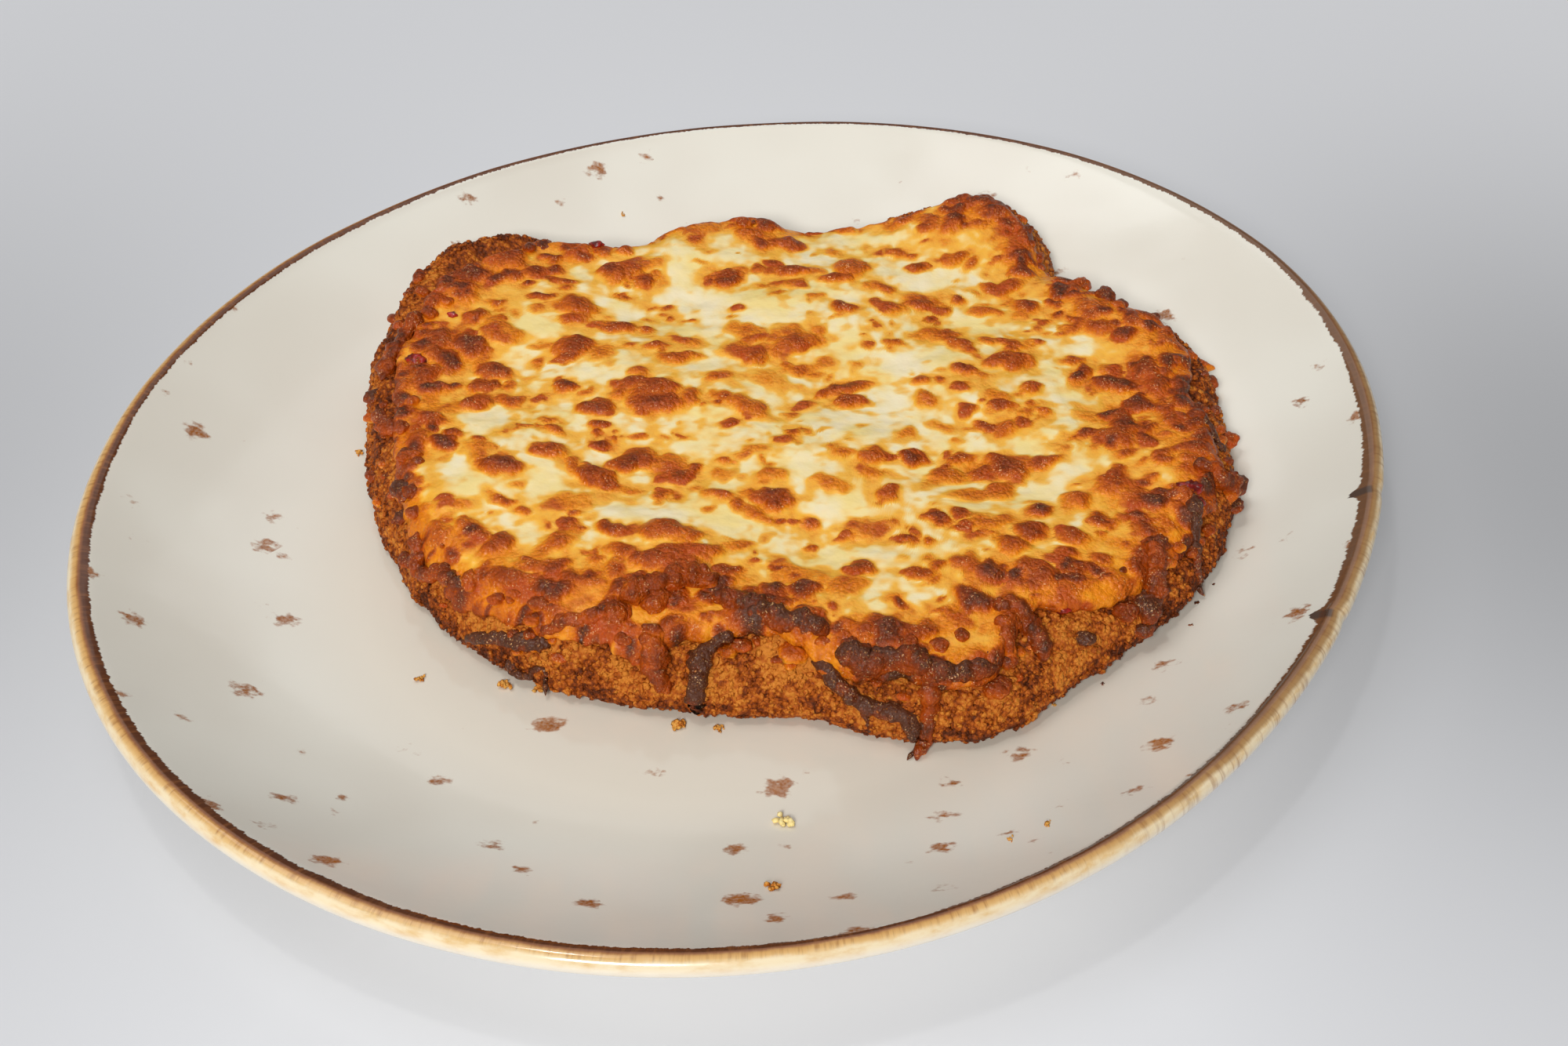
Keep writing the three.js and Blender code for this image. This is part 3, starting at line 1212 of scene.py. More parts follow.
@dataclass
class Cutlet:
    """The breaded cutlet: a rough crust, with loose grains on what the cheese leaves bare."""

    place: Placement
    columns: int = 1400
    foot_rows: int = 8
    shoulder_rows: int = 48
    under_cheese: float = 5.0
    sunk: float = 1.5
    coarse: tuple[float, float] = (2.2, 0.5)
    fine: tuple[float, float] = (1.1, 0.42)
    grain_count: int = 9500
    grain_rows: tuple[int, int] = (6, 12)
    grain_size: tuple[float, float] = (0.3, 0.8)
    grain_lift: float = 0.05
    grain_flatness: float = 0.75
    baked_sides: tuple[Lobe, ...] = (
        Lobe(168, 26, 0.1), Lobe(140, 14, 0.14), Lobe(70, 9, 0.22), Lobe(52, 9, 0.1),
        Lobe(12, 22, 0.22), Lobe(-32, 12, 0.2), Lobe(-95, 30, -0.14), Lobe(-50, 8, -0.06),
    )
    finish: CrustFinish = CrustFinish()
    crust: Array = field(init=False)
    outward: Array = field(init=False)
    bake_and_shade: Array = field(init=False)

    def form(self) -> Array:
        """The smooth body in rings: underside, rounded foot, then the shoulder to under the cheese.

        Returns:
            Points, rows by columns.
        """
        angle = np.linspace(0, TAU, self.columns, endpoint=False)
        outline = CUTLET.outline(angle)
        rings = []
        for share in (0.35, 0.7, 0.88):
            x, y = CUTLET.place(angle, share * (outline - CUTLET.undercut))
            rings.append(np.stack([x, y, PLATE.bed(x, y) + CUTLET.gap], axis=-1))
        for turn in np.linspace(0, math.pi / 2, self.foot_rows)[:-1]:
            inset = CUTLET.undercut * (1 - math.sin(turn))
            x, y = CUTLET.place(angle, outline - inset)
            rise = CUTLET.edge_height * (1 - math.cos(turn))
            rings.append(np.stack([x, y, PLATE.bed(x, y) + CUTLET.gap + rise], axis=-1))
        taper = CUTLET.taper(angle)
        cover = np.clip((CHEESE.bare_band(angle) + self.under_cheese) / taper, 0.2, 1)
        end = np.arccos(1 - cover)
        for way in np.linspace(0, 1, self.shoulder_rows):
            radius = outline - taper * (1 - np.cos(way * end))
            rings.append(polar(angle, radius, CUTLET.top(PLATE, angle, radius), CUTLET.centre))
        inner = outline - taper * cover
        for share in (0.93, 0.6, 0.25):
            x, y = CUTLET.place(angle, inner * share)
            radius = inner * share
            height = CUTLET.top(PLATE, angle, radius) - self.sunk
            rings.append(polar(angle, radius, height, CUTLET.centre))
        return np.stack(rings)

    def build(self) -> Piece:
        """Roughen the body with two sizes of crumb, pushed out along its normals.

        Returns:
            The crust.
        """
        body = self.form()
        normal = grid_normals(body)
        noise = Noise(Seed.CRUST)
        push = np.stack([noise.at(body + shift, 2.2) for shift in (0, 50, 90)], axis=-1)
        warped = body + 0.8 * push
        coarse = np.clip(noise.pebbles(warped, self.coarse[0]), 0, 1)
        fine = np.clip(Noise(Seed.CRUST_FINE).pebbles(warped, self.fine[0]), 0, 1)
        lumps = 0.8 * noise.at(body, 11) + 0.55 * noise.at(body, 5)
        lift = lumps + self.coarse[1] * (coarse - 0.55) + self.fine[1] * (fine - 0.5)
        floor = PLATE.bed(body[..., 0], body[..., 1]) + 0.05
        crust = body + normal * lift[..., None]
        crust[..., 2] = np.maximum(crust[..., 2], floor)
        above = body[..., 2] - floor
        foot = smooth_step(7.5, 0.5, above)
        patches = noise.layered(body + 11, 9, 3)
        # The level mixes real browning with painted shade: the raised coarse and fine pebbles are
        # painted lighter and the hollows between them darker. It is also darker towards the foot.
        self.bake_and_shade = 0.28 + 0.42 * foot + 0.4 * patches - 0.75 * (coarse - 0.55) - 0.4 * (fine - 0.5)
        self.bake_and_shade += self.side_bake(body)
        self.crust = crust
        self.outward = normal
        return closed_turns("breaded_cutlet", self.place, crust[None], {"bake_and_shade": self.bake_and_shade})

    def side_bake(self, points: Array) -> Array:
        """How much more some sides are baked: the left and the right ends, and the ears' tips."""
        angle, _ = CUTLET.turned_to(points[..., 0], points[..., 1])
        return sum(side.over(angle) for side in self.baked_sides)

    def loose_grains(self) -> Piece:
        """Scatter grains over the bare band, each lying flat on the crust.

        Returns:
            All grains as one piece.
        """
        draw = np.random.default_rng(Seed.GRAIN_PLACES)
        first, last = self.grain_rows
        row = draw.integers(first, self.crust.shape[0] - last, self.grain_count)
        column = draw.integers(0, self.columns, self.grain_count)
        centre = self.crust[row, column]
        normal = self.outward[row, column]
        small, large = self.grain_size
        size = small + (large - small) * draw.random(self.grain_count) ** 2.2
        centre = centre + normal * size[:, None] * self.grain_lift
        points, faces = grains(centre, normal, size, self.grain_flatness, Seed.GRAIN_SHAPES)
        points[:, 2] = np.maximum(points[:, 2], PLATE.bed(points[:, 0], points[:, 1]) + 0.02)
        bake_and_shade = self.bake_and_shade[row, column] + draw.normal(-0.04, 0.12, self.grain_count)
        values = {"bake_and_shade": np.repeat(bake_and_shade, GRAIN_POINTS)}
        return build_mesh("crust_grains", self.place.metres(points), [faces], values)

    def dress(self, crust: Piece, loose: Piece) -> bpy.types.Material:
        """Finish the crust and its grains alike.

        Args:
            crust, loose: the crust and its grains.

        Returns:
            Their finish.
        """
        material = self.finish.material("fried_crumb")
        dress(crust, material, "breading", "cutlet")
        dress(loose, material, "breading")
        return material


# ------------------------------------------------------------------ cheese


@dataclass
class Cheese:
    """The melted layer: a soft sheet with toasted blisters and a round edge that browns."""

    place: Placement
    cells: int = 308
    edge_rows: int = 6
    edge_round: float = 1.1
    ground_limit: float = 0.58
    rolls: tuple[Lobe, ...] = (
        Lobe(-100, 32, 0.8), Lobe(-66, 12, 0.7), Lobe(-40, 10, 0.6), Lobe(-12, 12, 0.3),
        Lobe(175, 25, 0.3),
    )
    toasted_sides: tuple[Lobe, ...] = (
        Lobe(172, 30, 0.75), Lobe(-136, 15, 0.5), Lobe(-105, 34, 0.8), Lobe(-68, 20, 0.5),
        Lobe(-36, 18, 0.66), Lobe(2, 28, 1.25), Lobe(35, 12, 0.45), Lobe(58, 12, 0.85),
        Lobe(100, 8, 0.5), Lobe(138, 16, 0.5),
    )
    field_low: tuple[float, float] = (-80, -66)
    field_high: tuple[float, float] = (106, 106)
    row_step: float = 7.6
    blister_step: float = 8.6
    row_stagger: float = 5.3
    skipped: float = 0.12
    hot_tries: int = 4600
    hot_share: float = 0.62
    spot_count: int = 430
    softness: float = 0.43
    halo_width: float = 1.9
    finish: CheeseFinish = CheeseFinish()

    def smooth_edge(self, angle: Array) -> Array:
        """Radius of the cheese's edge without its fingers."""
        return CUTLET.outline(angle) - CHEESE.bare_band(angle)

    def edge(self, angle: Array) -> Array:
        """Radius of the cheese's ragged edge: the smooth one plus three sizes of noise.

        Args:
            angle: the places, round the cutlet's centre.

        Returns:
            The radii.
        """
        ring = polar(angle, np.full_like(angle, 80.0), 0.0)
        noise = Noise(Seed.CHEESE_EDGE)
        ragged = 1.5 * noise.at(ring, 9) + 1.1 * noise.at(ring, 4.5) + 0.5 * noise.at(ring, 2)
        return self.smooth_edge(angle) + ragged

    def sheet(self) -> tuple[Array, Array, Array]:
        """Lay a square grid over the cheese: squares round the middle become circles.

        Returns:
            The angle, the radius and the lift over the cutlet, each a square array.
        """
        step = np.linspace(-1, 1, self.cells + 1)
        across, along = np.meshgrid(step, step, indexing="ij")
        wide = np.abs(across) >= np.abs(along)
        reach = np.where(wide, across, along)
        other = np.where(wide, along, across)
        turn = math.pi / 4 * other / np.where(reach == 0, 1, reach)
        turn = np.where(wide, turn, math.pi / 2 - turn)
        angle = np.arctan2(reach * np.sin(turn), reach * np.cos(turn))
        share = np.abs(reach)
        rolled = self.edge_round + sum(lobe.over(angle) for lobe in self.rolls)
        limit = 1 - 2 * self.edge_rows / self.cells
        edge = self.edge(angle)
        tip = np.clip((share - limit) / (1 - limit), 0, 1)
        sweep = math.pi / 2 - tip * math.radians(140)
        flat = share / limit * (edge - rolled)
        radius = np.where(share <= limit, flat, edge - rolled + rolled * np.cos(sweep))
        inside = np.clip((limit - share) / limit, 0, 1) * edge
        swell = smooth_step(7, 0, inside)
        body = CHEESE.thickness + (2 * rolled - CHEESE.thickness) * swell
        lift = np.where(share <= limit, body, rolled * (1 + np.sin(sweep)))
        return angle, radius, lift

    def sides(self, angle: Array) -> Array:
        """How strongly each side is toasted, from 0 to 1.3."""
        return np.clip(0.14 + sum(lobe.over(angle) for lobe in self.toasted_sides), 0, 1.3)

    def heat(self, flat: Array) -> Array:
        """How hot each place became: a band along the edge, wide on the hot sides.

        Args:
            flat: points whose third part is 0.

        Returns:
            Values from 0 in the middle to 1 at the hottest edges.
        """
        angle, radius = CUTLET.turned_to(flat[..., 0], flat[..., 1])
        inside = np.maximum(self.smooth_edge(angle) - radius, 0)
        side = self.sides(angle)
        reach = 5 + 18 * side + 6 * Noise(Seed.HEAT).layered(flat, 13, 2)
        return side * smooth_step(reach, reach * 0.15, inside)

    def islands(self) -> Array:
        """Choose the blisters: jittered rows of long ones, many in the heat, and small spots.

        Returns:
            One row each: x, y, half length, half width, turn and strength.
        """
        draw = np.random.default_rng(Seed.ISLANDS)
        found = []

        def add(centre: Array, half: float, turn: float, strength: float,
                low: float = 0.4) -> None:
            """Note down one blister, wider for its length when it is short."""
            wide = float(np.clip(half * draw.uniform(low, 0.88), 0.8, 3.6))
            found.append((centre[0], centre[1], half, wide, turn, strength))

        west, south = self.field_low
        east, north = self.field_high
        for row, y in enumerate(np.arange(south, north, self.row_step)):
            for x in np.arange(west, east, self.blister_step):
                if draw.random() < self.skipped:
                    continue
                centre = np.array([x + self.row_stagger * (row % 2), y]) + draw.normal(0, 2.3, 2)
                half = float(np.clip(draw.lognormal(1.18, 0.36), 1.5, 6.8))
                turn = draw.normal(-0.03, 0.3)
                strength = draw.uniform(0.32, 0.9)
                add(centre, half, turn, strength)
                for _ in range(draw.integers(0, 4)):
                    away = half * draw.uniform(0.7, 1.2) * draw.choice((-1, 1))
                    ahead = away * np.array([math.cos(turn), math.sin(turn)])
                    follow = centre + ahead + draw.normal(0, 1.5, 2)
                    add(follow, half * 0.55, turn + draw.normal(0, 0.5),
                        strength * draw.uniform(0.45, 1.0), 0.6)
        hot = draw.uniform((*self.field_low, 0), (*self.field_high, 0), size=(self.hot_tries, 3))
        chosen = hot[draw.random(len(hot)) < self.hot_share * self.heat(hot)]
        for spot in chosen:
            half = float(np.clip(draw.lognormal(0.84, 0.4), 1.0, 4.4))
            add(spot[:2], half, draw.normal(0, 0.6), draw.uniform(0.5, 1.05), 0.55)
        for _ in range(self.spot_count):
            spot = draw.uniform(self.field_low, self.field_high)
            add(spot, draw.uniform(0.7, 2.2), draw.normal(0, 0.5), draw.uniform(0.12, 0.5))
        return np.array(found)

    def blister_cover(self, flat: Array) -> tuple[Array, Array, Array]:
        """How blisters lie over each point.

        A blister is an ellipse on points that are first pushed about by noise. Inside, it is
        toasted more towards its middle and rises as a dome; outside, a soft halo fades away.
        Where blisters meet, the more toasted one and the higher dome count.

        Args:
            flat: the grid's points, with 0 for their third part.

        Returns:
            The toast and the halo from 0 to 1, and the domes' rise in millimetres.
        """
        noise = Noise(Seed.ISLAND_OUTLINES)
        warp = np.stack([1.2 * noise.at(flat + shift, 6) + 0.85 * noise.at(flat + shift + 9, 2.6)
                         for shift in (0, 71)], axis=-1)
        moved = flat[..., :2] + warp
        toasted = np.zeros(flat.shape[:-1])
        clear = np.zeros(flat.shape[:-1])
        rise = np.zeros(flat.shape[:-1])
        for x, y, half, wide, turn, strength in self.islands():
            away = moved - (x, y)
            near = (np.abs(away) < 1.5 * half + 7).all(-1)
            away = away[near]
            cos, sin = math.cos(turn), math.sin(turn)
            along = (away[:, 0] * cos + away[:, 1] * sin) / half
            across = (away[:, 1] * cos - away[:, 0] * sin) / wide
            share = np.hypot(along, across)
            reach = (share - 1) * math.sqrt(half * wide)
            body = 1 / (1 + np.exp(np.clip(reach / self.softness, -30, 30)))
            middle = np.clip(1 - share, 0, 1)
            browned = strength * body * (0.52 + 0.58 * np.sqrt(middle))
            toasted[near] = np.maximum(toasted[near], browned)
            faded = np.exp(-np.maximum(reach + 0.2, 0) / self.halo_width)
            clear[near] += np.log1p(-0.6 * strength * faded)
            tall = 0.5 * wide * float(np.clip(2.2 * strength - 0.5, 0.1, 1))
            dome = tall * np.clip(1 - share ** 2, 0, 1) ** 0.75
            rise[near] = np.maximum(rise[near], dome)
        return toasted, 1 - np.exp(clear), rise

    def build(self) -> Piece:
        """Raise the sheet over the cutlet, blister it and brown its edge.

        Returns:
            The cheese.
        """
        angle, radius, lift = self.sheet()
        under = CUTLET.top(PLATE, angle, np.minimum(radius, CUTLET.outline(angle)))
        points = polar(angle, radius, under + lift, CUTLET.centre)
        noise = Noise(Seed.CHEESE_TOP)
        flat = points * np.array([1.0, 1.0, 0.0])
        inside = np.maximum(self.smooth_edge(angle) - radius, 0)
        side = self.sides(angle)
        toast, rise = self.browning(flat, angle, inside, noise)
        coarse = np.clip(noise.pebbles(flat + 17, 3.6), 0, 1)
        held = smooth_step(0.25, 0.7, toast)
        swell = rise + held * 0.6 * (coarse - 0.45) + held * 0.22 * noise.at(flat + 51, 1.9)
        toast = toast + 0.12 * held * (coarse - 0.5)
        calm = 0.5 * noise.at(flat, (24, 15, 9)) + 0.28 * noise.at(flat, (11, 6, 9))
        calm = calm + 0.1 * noise.at(flat, 2.6)
        soft = np.clip(inside / 2.0, 0.15, 1)
        points[..., 2] += soft * (swell + calm)
        points = self.boil_edge(points, angle, inside, side, noise)
        return self.mesh(points, toast)

    def browning(self, flat: Array, angle: Array, inside: Array,
                 noise: Noise) -> tuple[Array, Array]:
        """How far each place is toasted: its blisters, or a softer ground of heat, halo and haze.

        Args:
            flat: the grid's points, with 0 for their third part.
            angle, inside: their angles and their distances from the cheese's edge.
            noise: the noise that makes all of it uneven.

        Returns:
            The toast, 0 where it is cream and 1 where it is dark, and the blisters' rise.
        """
        side = self.sides(angle)
        heat = self.heat(flat)
        cover, halo, rise = self.blister_cover(flat)
        uneven = 0.97 + 0.24 * noise.layered(flat + 19, 4, 2)
        core = np.clip(cover * (uneven + 0.06 * heat), 0, 1)
        streaks = noise.layered(flat * (0.7, 1.0, 1.0) + 5, 4.5, 3)
        haze = 0.04 * smooth_step(-0.1, 0.5, noise.layered(flat + 29, 15, 3))
        haze += 0.16 * smooth_step(0.2, 0.8, streaks)
        base = heat * (0.22 + 0.3 * noise.layered(flat + 7, 6.5, 3)) + haze
        at_edge = side * smooth_step(5.5, 0.5, inside)
        base += at_edge * (0.24 + 0.3 * noise.layered(flat + 23, 5, 2))
        glow = halo * (0.35 + 0.36 * noise.layered(flat + 37, 3.2, 2))
        ground = joined(base, np.clip(glow, 0, 1))
        ground = self.ground_limit * (1 - np.exp(-ground / self.ground_limit))
        toast = np.maximum(core, ground) + 0.3 * np.minimum(core, ground)
        rolled = np.clip(sum(lobe.over(angle) for lobe in self.rolls), 0, 1)
        burnt = smooth_step(-0.25, 0.45, noise.layered(flat + 3, 9, 2))
        toast = toast + 0.28 * smooth_step(5.0, 0.5, inside) * rolled * burnt
        return toast, rise

    def boil_edge(self, points: Array, angle: Array, inside: Array, side: Array,
                  noise: Noise) -> Array:
        """Push the last millimetres of the sheet out into bubbles 3 to 6 mm wide.

        Args:
            points: the sheet's points.
            angle, inside: their angles and their distances from the cheese's edge.
            side: how strongly each side is toasted.
            noise: the noise that the bubbles come from.

        Returns:
            The moved points.
        """
        near = smooth_step(7.0, 1.0, inside) * side
        swell = near * (1.5 * np.clip(noise.pebbles(points, 5.2), 0, 1) - 0.75)
        out = polar(angle, 0.55, 0.75)
        return points + out * swell[..., None]

    def mesh(self, points: Array, toast: Array) -> Piece:
        """Close the sheet underneath with a fan from its edge to a point inside the cutlet.

        Args:
            points: the sheet's points, a square array.
            toast: how far each is toasted.

        Returns:
            The object.
        """
        side = self.cells + 1
        index = np.arange(side * side).reshape(side, side)
        quads = np.stack([index[:-1, :-1], index[1:, :-1], index[1:, 1:], index[:-1, 1:]], axis=-1)
        quads = quads.reshape(-1, 4)
        loop = np.concatenate([index[:-1, 0], index[-1, :-1], index[:0:-1, -1], index[0, :0:-1]])
        pole = side * side
        fan = np.stack([np.roll(loop, -1), loop, np.full(len(loop), pole)], axis=-1)
        x, y = CUTLET.centre
        middle = np.array([[x, y, PLATE.well_height + CUTLET.thickness / 2]])
        whole = np.concatenate([points.reshape(-1, 3), middle])
        values = np.append(toast.ravel(), 0.5)
        points = self.place.metres(whole)
        return build_mesh("melted_cheese", points, [quads, fan], {"toast": values})

    def dress(self, piece: Piece) -> bpy.types.Material:
        """Finish the cheese.

        Args:
            piece: the cheese.

        Returns:
            Its finish.
        """
        material = self.finish.material()
        dress(piece, material, "cheese", "cheese")
        return material


# ------------------------------------------------------------------ ropes, sauce and crumbs


class Toast(Enum):
    """How far a rope or blister is toasted."""

    RED_BROWN = 0.65
    BROWN = 0.76
    DARK = 0.92
    BURNT = 1.12


@dataclass(frozen=True)
class Rope:
    """A rope of drawn-out cheese along places given by angle and inset from the cutlet's edge."""

    way: tuple[tuple[float, float], ...]
    start: float
    end: float
    toast: Toast
    lift: float = 0.35


@dataclass(frozen=True)
class Blister:
    """A lone blister: angle, inset, half length, and how far it is toasted."""

    at: float
    inset: float
    half: float
    toast: Toast


def curve(stops: Array, count: int) -> Array:
    """A smooth line through stops: a cubic between each two, with slopes from their neighbours.

    Args:
        stops: the points or values, one row each.
        count: how many points to return.

    Returns:
        Points along the line, evenly spaced in the number of stops.
    """
    before_first, after_last = 2 * stops[:1] - stops[1:2], 2 * stops[-1:] - stops[-2:-1]
    ends = np.concatenate([before_first, stops, after_last])
    place = np.linspace(0, len(stops) - 1, count)
    piece = np.minimum(place.astype(int), len(stops) - 2)
    part = (place - piece)[:, None]
    before, here, there, beyond = (ends[piece + step] for step in range(4))
    square = 2 * before - 5 * here + 4 * there - beyond
    cube = 3 * here - before - 3 * there + beyond
    return 0.5 * (2 * here + (there - before) * part + square * part ** 2 + cube * part ** 3)


@dataclass
class Trimmings:
    """What hangs and lies round the cheese: ropes, threads, blisters, sauce and fallen crumbs."""

    place: Placement
    rows: int = 64
    columns: int = 18
    random_blisters: int = 170
    ball_size: tuple[int, int] = (16, 24)
    sauce_size: tuple[int, int] = (14, 22)
    heap: int = 16
    ropes: tuple[Rope, ...] = (
        Rope(((-140, 0), (-135, 1), (-131, 1.8), (-127, 2.6)), 1.2, 1.4, Toast.BURNT),
        Rope(((-129, 3), (-125, 6), (-122, 8), (-118, 9)), 1.1, 1.6, Toast.RED_BROWN),
        Rope(((-121, 13), (-116, 18), (-111, 21), (-106, 19)), 2.2, 1.8, Toast.RED_BROWN),
        Rope(((-113, 8), (-112, 4.5), (-111, 1.7), (-109, 0.6)), 2.3, 1.3, Toast.BROWN),
        Rope(((-101, 9), (-104, 7), (-105, 4.3), (-105, 1.6), (-105, -0.6)), 1.5, 1.7,
             Toast.BURNT),
        Rope(((-133, 0.2), (-130, -0.2), (-127, 0.4), (-126, -1.8)), 0.9, 0.3, Toast.BURNT),
        Rope(((-106, 16), (-101, 14.5), (-97, 12.2), (-92, 10.2), (-88, 10), (-85, 8.4)), 1.7, 1.9,
             Toast.DARK),
        Rope(((-84, 6.6), (-80, 5), (-76, 7), (-73, 7), (-69, 6.2), (-66, 6), (-62, 6.2)), 2.3, 1.4,
             Toast.DARK),
        Rope(((-72, 7), (-72, 3), (-73, 0.4), (-75, -4.2)), 1.5, 0.9, Toast.BROWN),
        Rope(((-73, 1), (-74, -1), (-76, -4.4)), 0.9, 0.35, Toast.BURNT),
        Rope(((-88, 5), (-83, 2), (-80, 1.1), (-76, 0.9), (-74, -0.4)), 1.2, 1.5, Toast.BURNT),
        Rope(((-81, 1.2), (-80, -0.6)), 0.9, 0.2, Toast.BURNT),
        Rope(((-58, 17), (-55, 14), (-54, 9), (-55, 4)), 1.4, 1.7, Toast.BROWN),
        Rope(((-58, 14), (-59, 10), (-60, 6)), 1.2, 1.3, Toast.RED_BROWN),
        Rope(((-13, 9.4), (-13, 4), (-11, 0.3)), 1.4, 2.1, Toast.BROWN),
        Rope(((-19, 8), (-24, 4.4), (-27, 1), (-28, -2.2)), 1.4, 0.25, Toast.BURNT),
        Rope(((-30, 9), (-33, 5), (-36, 2)), 1.5, 1.9, Toast.BROWN),
        Rope(((0, 8), (-3, 6), (-5, 2.5)), 0.9, 0.7, Toast.BURNT),
        Rope(((158, 10), (164, 6.5), (170, 4)), 1.3, 1.5, Toast.BROWN),
        Rope(((-156, 4), (-152, 1.4), (-148, 2.6), (-144, 3)), 1.1, 1.4, Toast.BROWN),
    )
    blisters: tuple[Blister, ...] = (
        Blister(-120, 10.2, 3.0, Toast.RED_BROWN), Blister(-115, 14.5, 3.8, Toast.RED_BROWN),
        Blister(-117, 5.6, 2.0, Toast.RED_BROWN), Blister(-131, 7.1, 2.6, Toast.RED_BROWN),
        Blister(-100, 15.5, 2.8, Toast.BROWN), Blister(-82, 7, 3.3, Toast.BROWN),
        Blister(-73, 12, 2.4, Toast.RED_BROWN), Blister(-69, 12, 2.2, Toast.RED_BROWN),
        Blister(-65, 14, 1.8, Toast.RED_BROWN), Blister(-63, 8, 2.4, Toast.BROWN),
        Blister(-164.5, 5.2, 3.6, Toast.DARK), Blister(-161.5, 3.4, 2.6, Toast.DARK),
        Blister(172, 2.4, 2.8, Toast.DARK), Blister(177, 4.0, 2.4, Toast.BROWN),
        Blister(-144, 3.4, 2.3, Toast.DARK), Blister(-37, 2.2, 4.3, Toast.DARK),
        Blister(-39, 0.4, 2.6, Toast.DARK), Blister(-48, 3.4, 2.3, Toast.BURNT),
        Blister(-10.5, 1.0, 3.4, Toast.DARK), Blister(-13, 0.4, 2.4, Toast.DARK),
        Blister(4, 2.5, 1.5, Toast.BROWN), Blister(12, 3, 1.5, Toast.BROWN),
        Blister(168, 12, 2.6, Toast.RED_BROWN),
    )
    sauce_spots: tuple[Triple, ...] = (
        (-18, 8.9, 2.7), (-20, 7.2, 2.1), (156, 17, 1.1), (168, 12, 2.4), (127, 9, 1.8),
        (-48, 9, 1.4),
    )
    crumbs: tuple[Triple, ...] = (
        (-85, 23, 0.9), (-64, -47, 0.8), (-47, -49, 1.3), (-40, -50, 1.0), (-12, -60.5, 1.4),
        (-4, -61, 0.8), (55, -60, 1.3), (7, -107, 1.2), (57, -95, 0.7), (50, -98, 0.6),
        (-30, 104, 0.5), (62, -55, 0.4),
    )
    burnt_crumbs: tuple[Triple, ...] = (
        (93, -29, 0.5), (91, -36, 0.35), (97, -24, 0.3), (72, -50, 0.3),
    )
    cheese_crumb: Triple = (9, -86, 1.7)

    def rope_rings(self) -> tuple[Array, Array]:
        """Sweep every rope: a round section along a smooth line, lumpy as bubbles are.

        Returns:
            The rings' points and how far each is toasted.
        """
        noise = Noise(Seed.ROPES)
        turn = np.linspace(0, TAU, self.columns, endpoint=False)
        rings = []
        toasts = []
        for number, rope in enumerate(self.ropes):
            way = curve(np.array(rope.way, float), self.rows)
            line = CHEESE.skin(PLATE, CUTLET, np.radians(way[:, 0]), way[:, 1])
            sway = [noise.at(line + 40 * number + shift, 3.0) for shift in (0, 9)]
            line = line + 0.5 * np.stack([*sway, 0 * line[:, 0]], axis=-1)
            part = np.linspace(0, 1, self.rows)
            round_off = np.sqrt(np.clip(np.minimum(part, 1 - part) * 9, 0.02, 1))
            radius = (rope.start + (rope.end - rope.start) * part) * round_off
            radius = 1.2 * radius * (1 + 0.35 * noise.at(line + 90 + 7 * number, 3.0))
            lowest = PLATE.bed(line[:, 0], line[:, 1]) + 0.8 * radius
            line[:, 2] = np.maximum(line[:, 2], lowest) + rope.lift * radius
            along = np.gradient(line, axis=0)
            along /= np.linalg.norm(along, axis=1, keepdims=True)
            side = np.cross(along, (0.0, 0.0, 1.0))
            side /= np.linalg.norm(side, axis=1, keepdims=True)
            over = np.cross(along, side)
            ring = side[:, None] * np.cos(turn)[:, None] + over[:, None] * np.sin(turn)[:, None]
            points = line[:, None] + ring * radius[:, None, None]
            lump = np.clip(noise.pebbles(points + 13, 2.3), 0, 1) - 0.45
            points = points + ring * (radius[:, None] * 0.8 * lump)[..., None]
            rings.append(points)
            tone = 0.22 * noise.at(points + 5, 5.0) + 0.14 * noise.at(points, 2.2)
            upward = (points - line[:, None])[..., 2] / radius[:, None]
            toasts.append(rope.toast.value + tone + 0.16 * upward + 0.2 * lump)
        return np.stack(rings), np.stack(toasts)

    def blister_rings(self) -> tuple[Array, Array]:
        """Set every blister: a ball, flattened and half sunk, with bubbles all over.

        Returns:
            The rings' points and how far each is toasted.
        """
        draw = np.random.default_rng(Seed.BLISTERS)
        spots = [(spot.at, spot.inset, spot.half, spot.toast.value) for spot in self.blisters]
        hot = Cheese(self.place)
        while len(spots) < self.random_blisters:
            at = draw.uniform(-180, 180)
            angle = np.array(math.radians(at))
            if draw.random() > float(hot.sides(angle)):
                continue
            band = float(CHEESE.bare_band(angle))
            wide = 0.8 if self.end_sides(at) else 0.25
            inset = band + draw.uniform(-wide * band - 1.0, 5.0)
            half = float(np.clip(draw.lognormal(0.5, 0.35), 0.8, 3.0))
            spots.append((at, inset, half, draw.uniform(0.4, 0.8)))
        table = np.array(spots)
        angle, inset, half, toast = np.radians(table[:, 0]), table[:, 1], table[:, 2], table[:, 3]
        centre = CHEESE.skin(PLATE, CUTLET, angle, inset)
        ball = ball_rings(*self.ball_size)
        count = len(half)
        wide, tall = draw.uniform(0.62, 0.95, count), draw.uniform(0.45, 0.65, count)
        stretch = np.stack([np.ones(count), wide, tall], axis=-1)
        shaped = ball[None] * (stretch * half[:, None])[:, None, None]
        heading = draw.normal(0, 0.8, count)
        cos, sin = np.cos(heading)[:, None, None], np.sin(heading)[:, None, None]
        x, y, z = shaped[..., 0], shaped[..., 1], shaped[..., 2]
        turned = np.stack([x * cos - y * sin, x * sin + y * cos, z], axis=-1)
        points = turned + centre[:, None, None]
        noise = Noise(Seed.BLISTER_BUBBLES)
        lump = np.clip(noise.pebbles(points, 1.5), 0, 1) - 0.45 + 0.5 * noise.at(points, 2.6)
        points = points + turned * (0.42 * lump)[..., None]
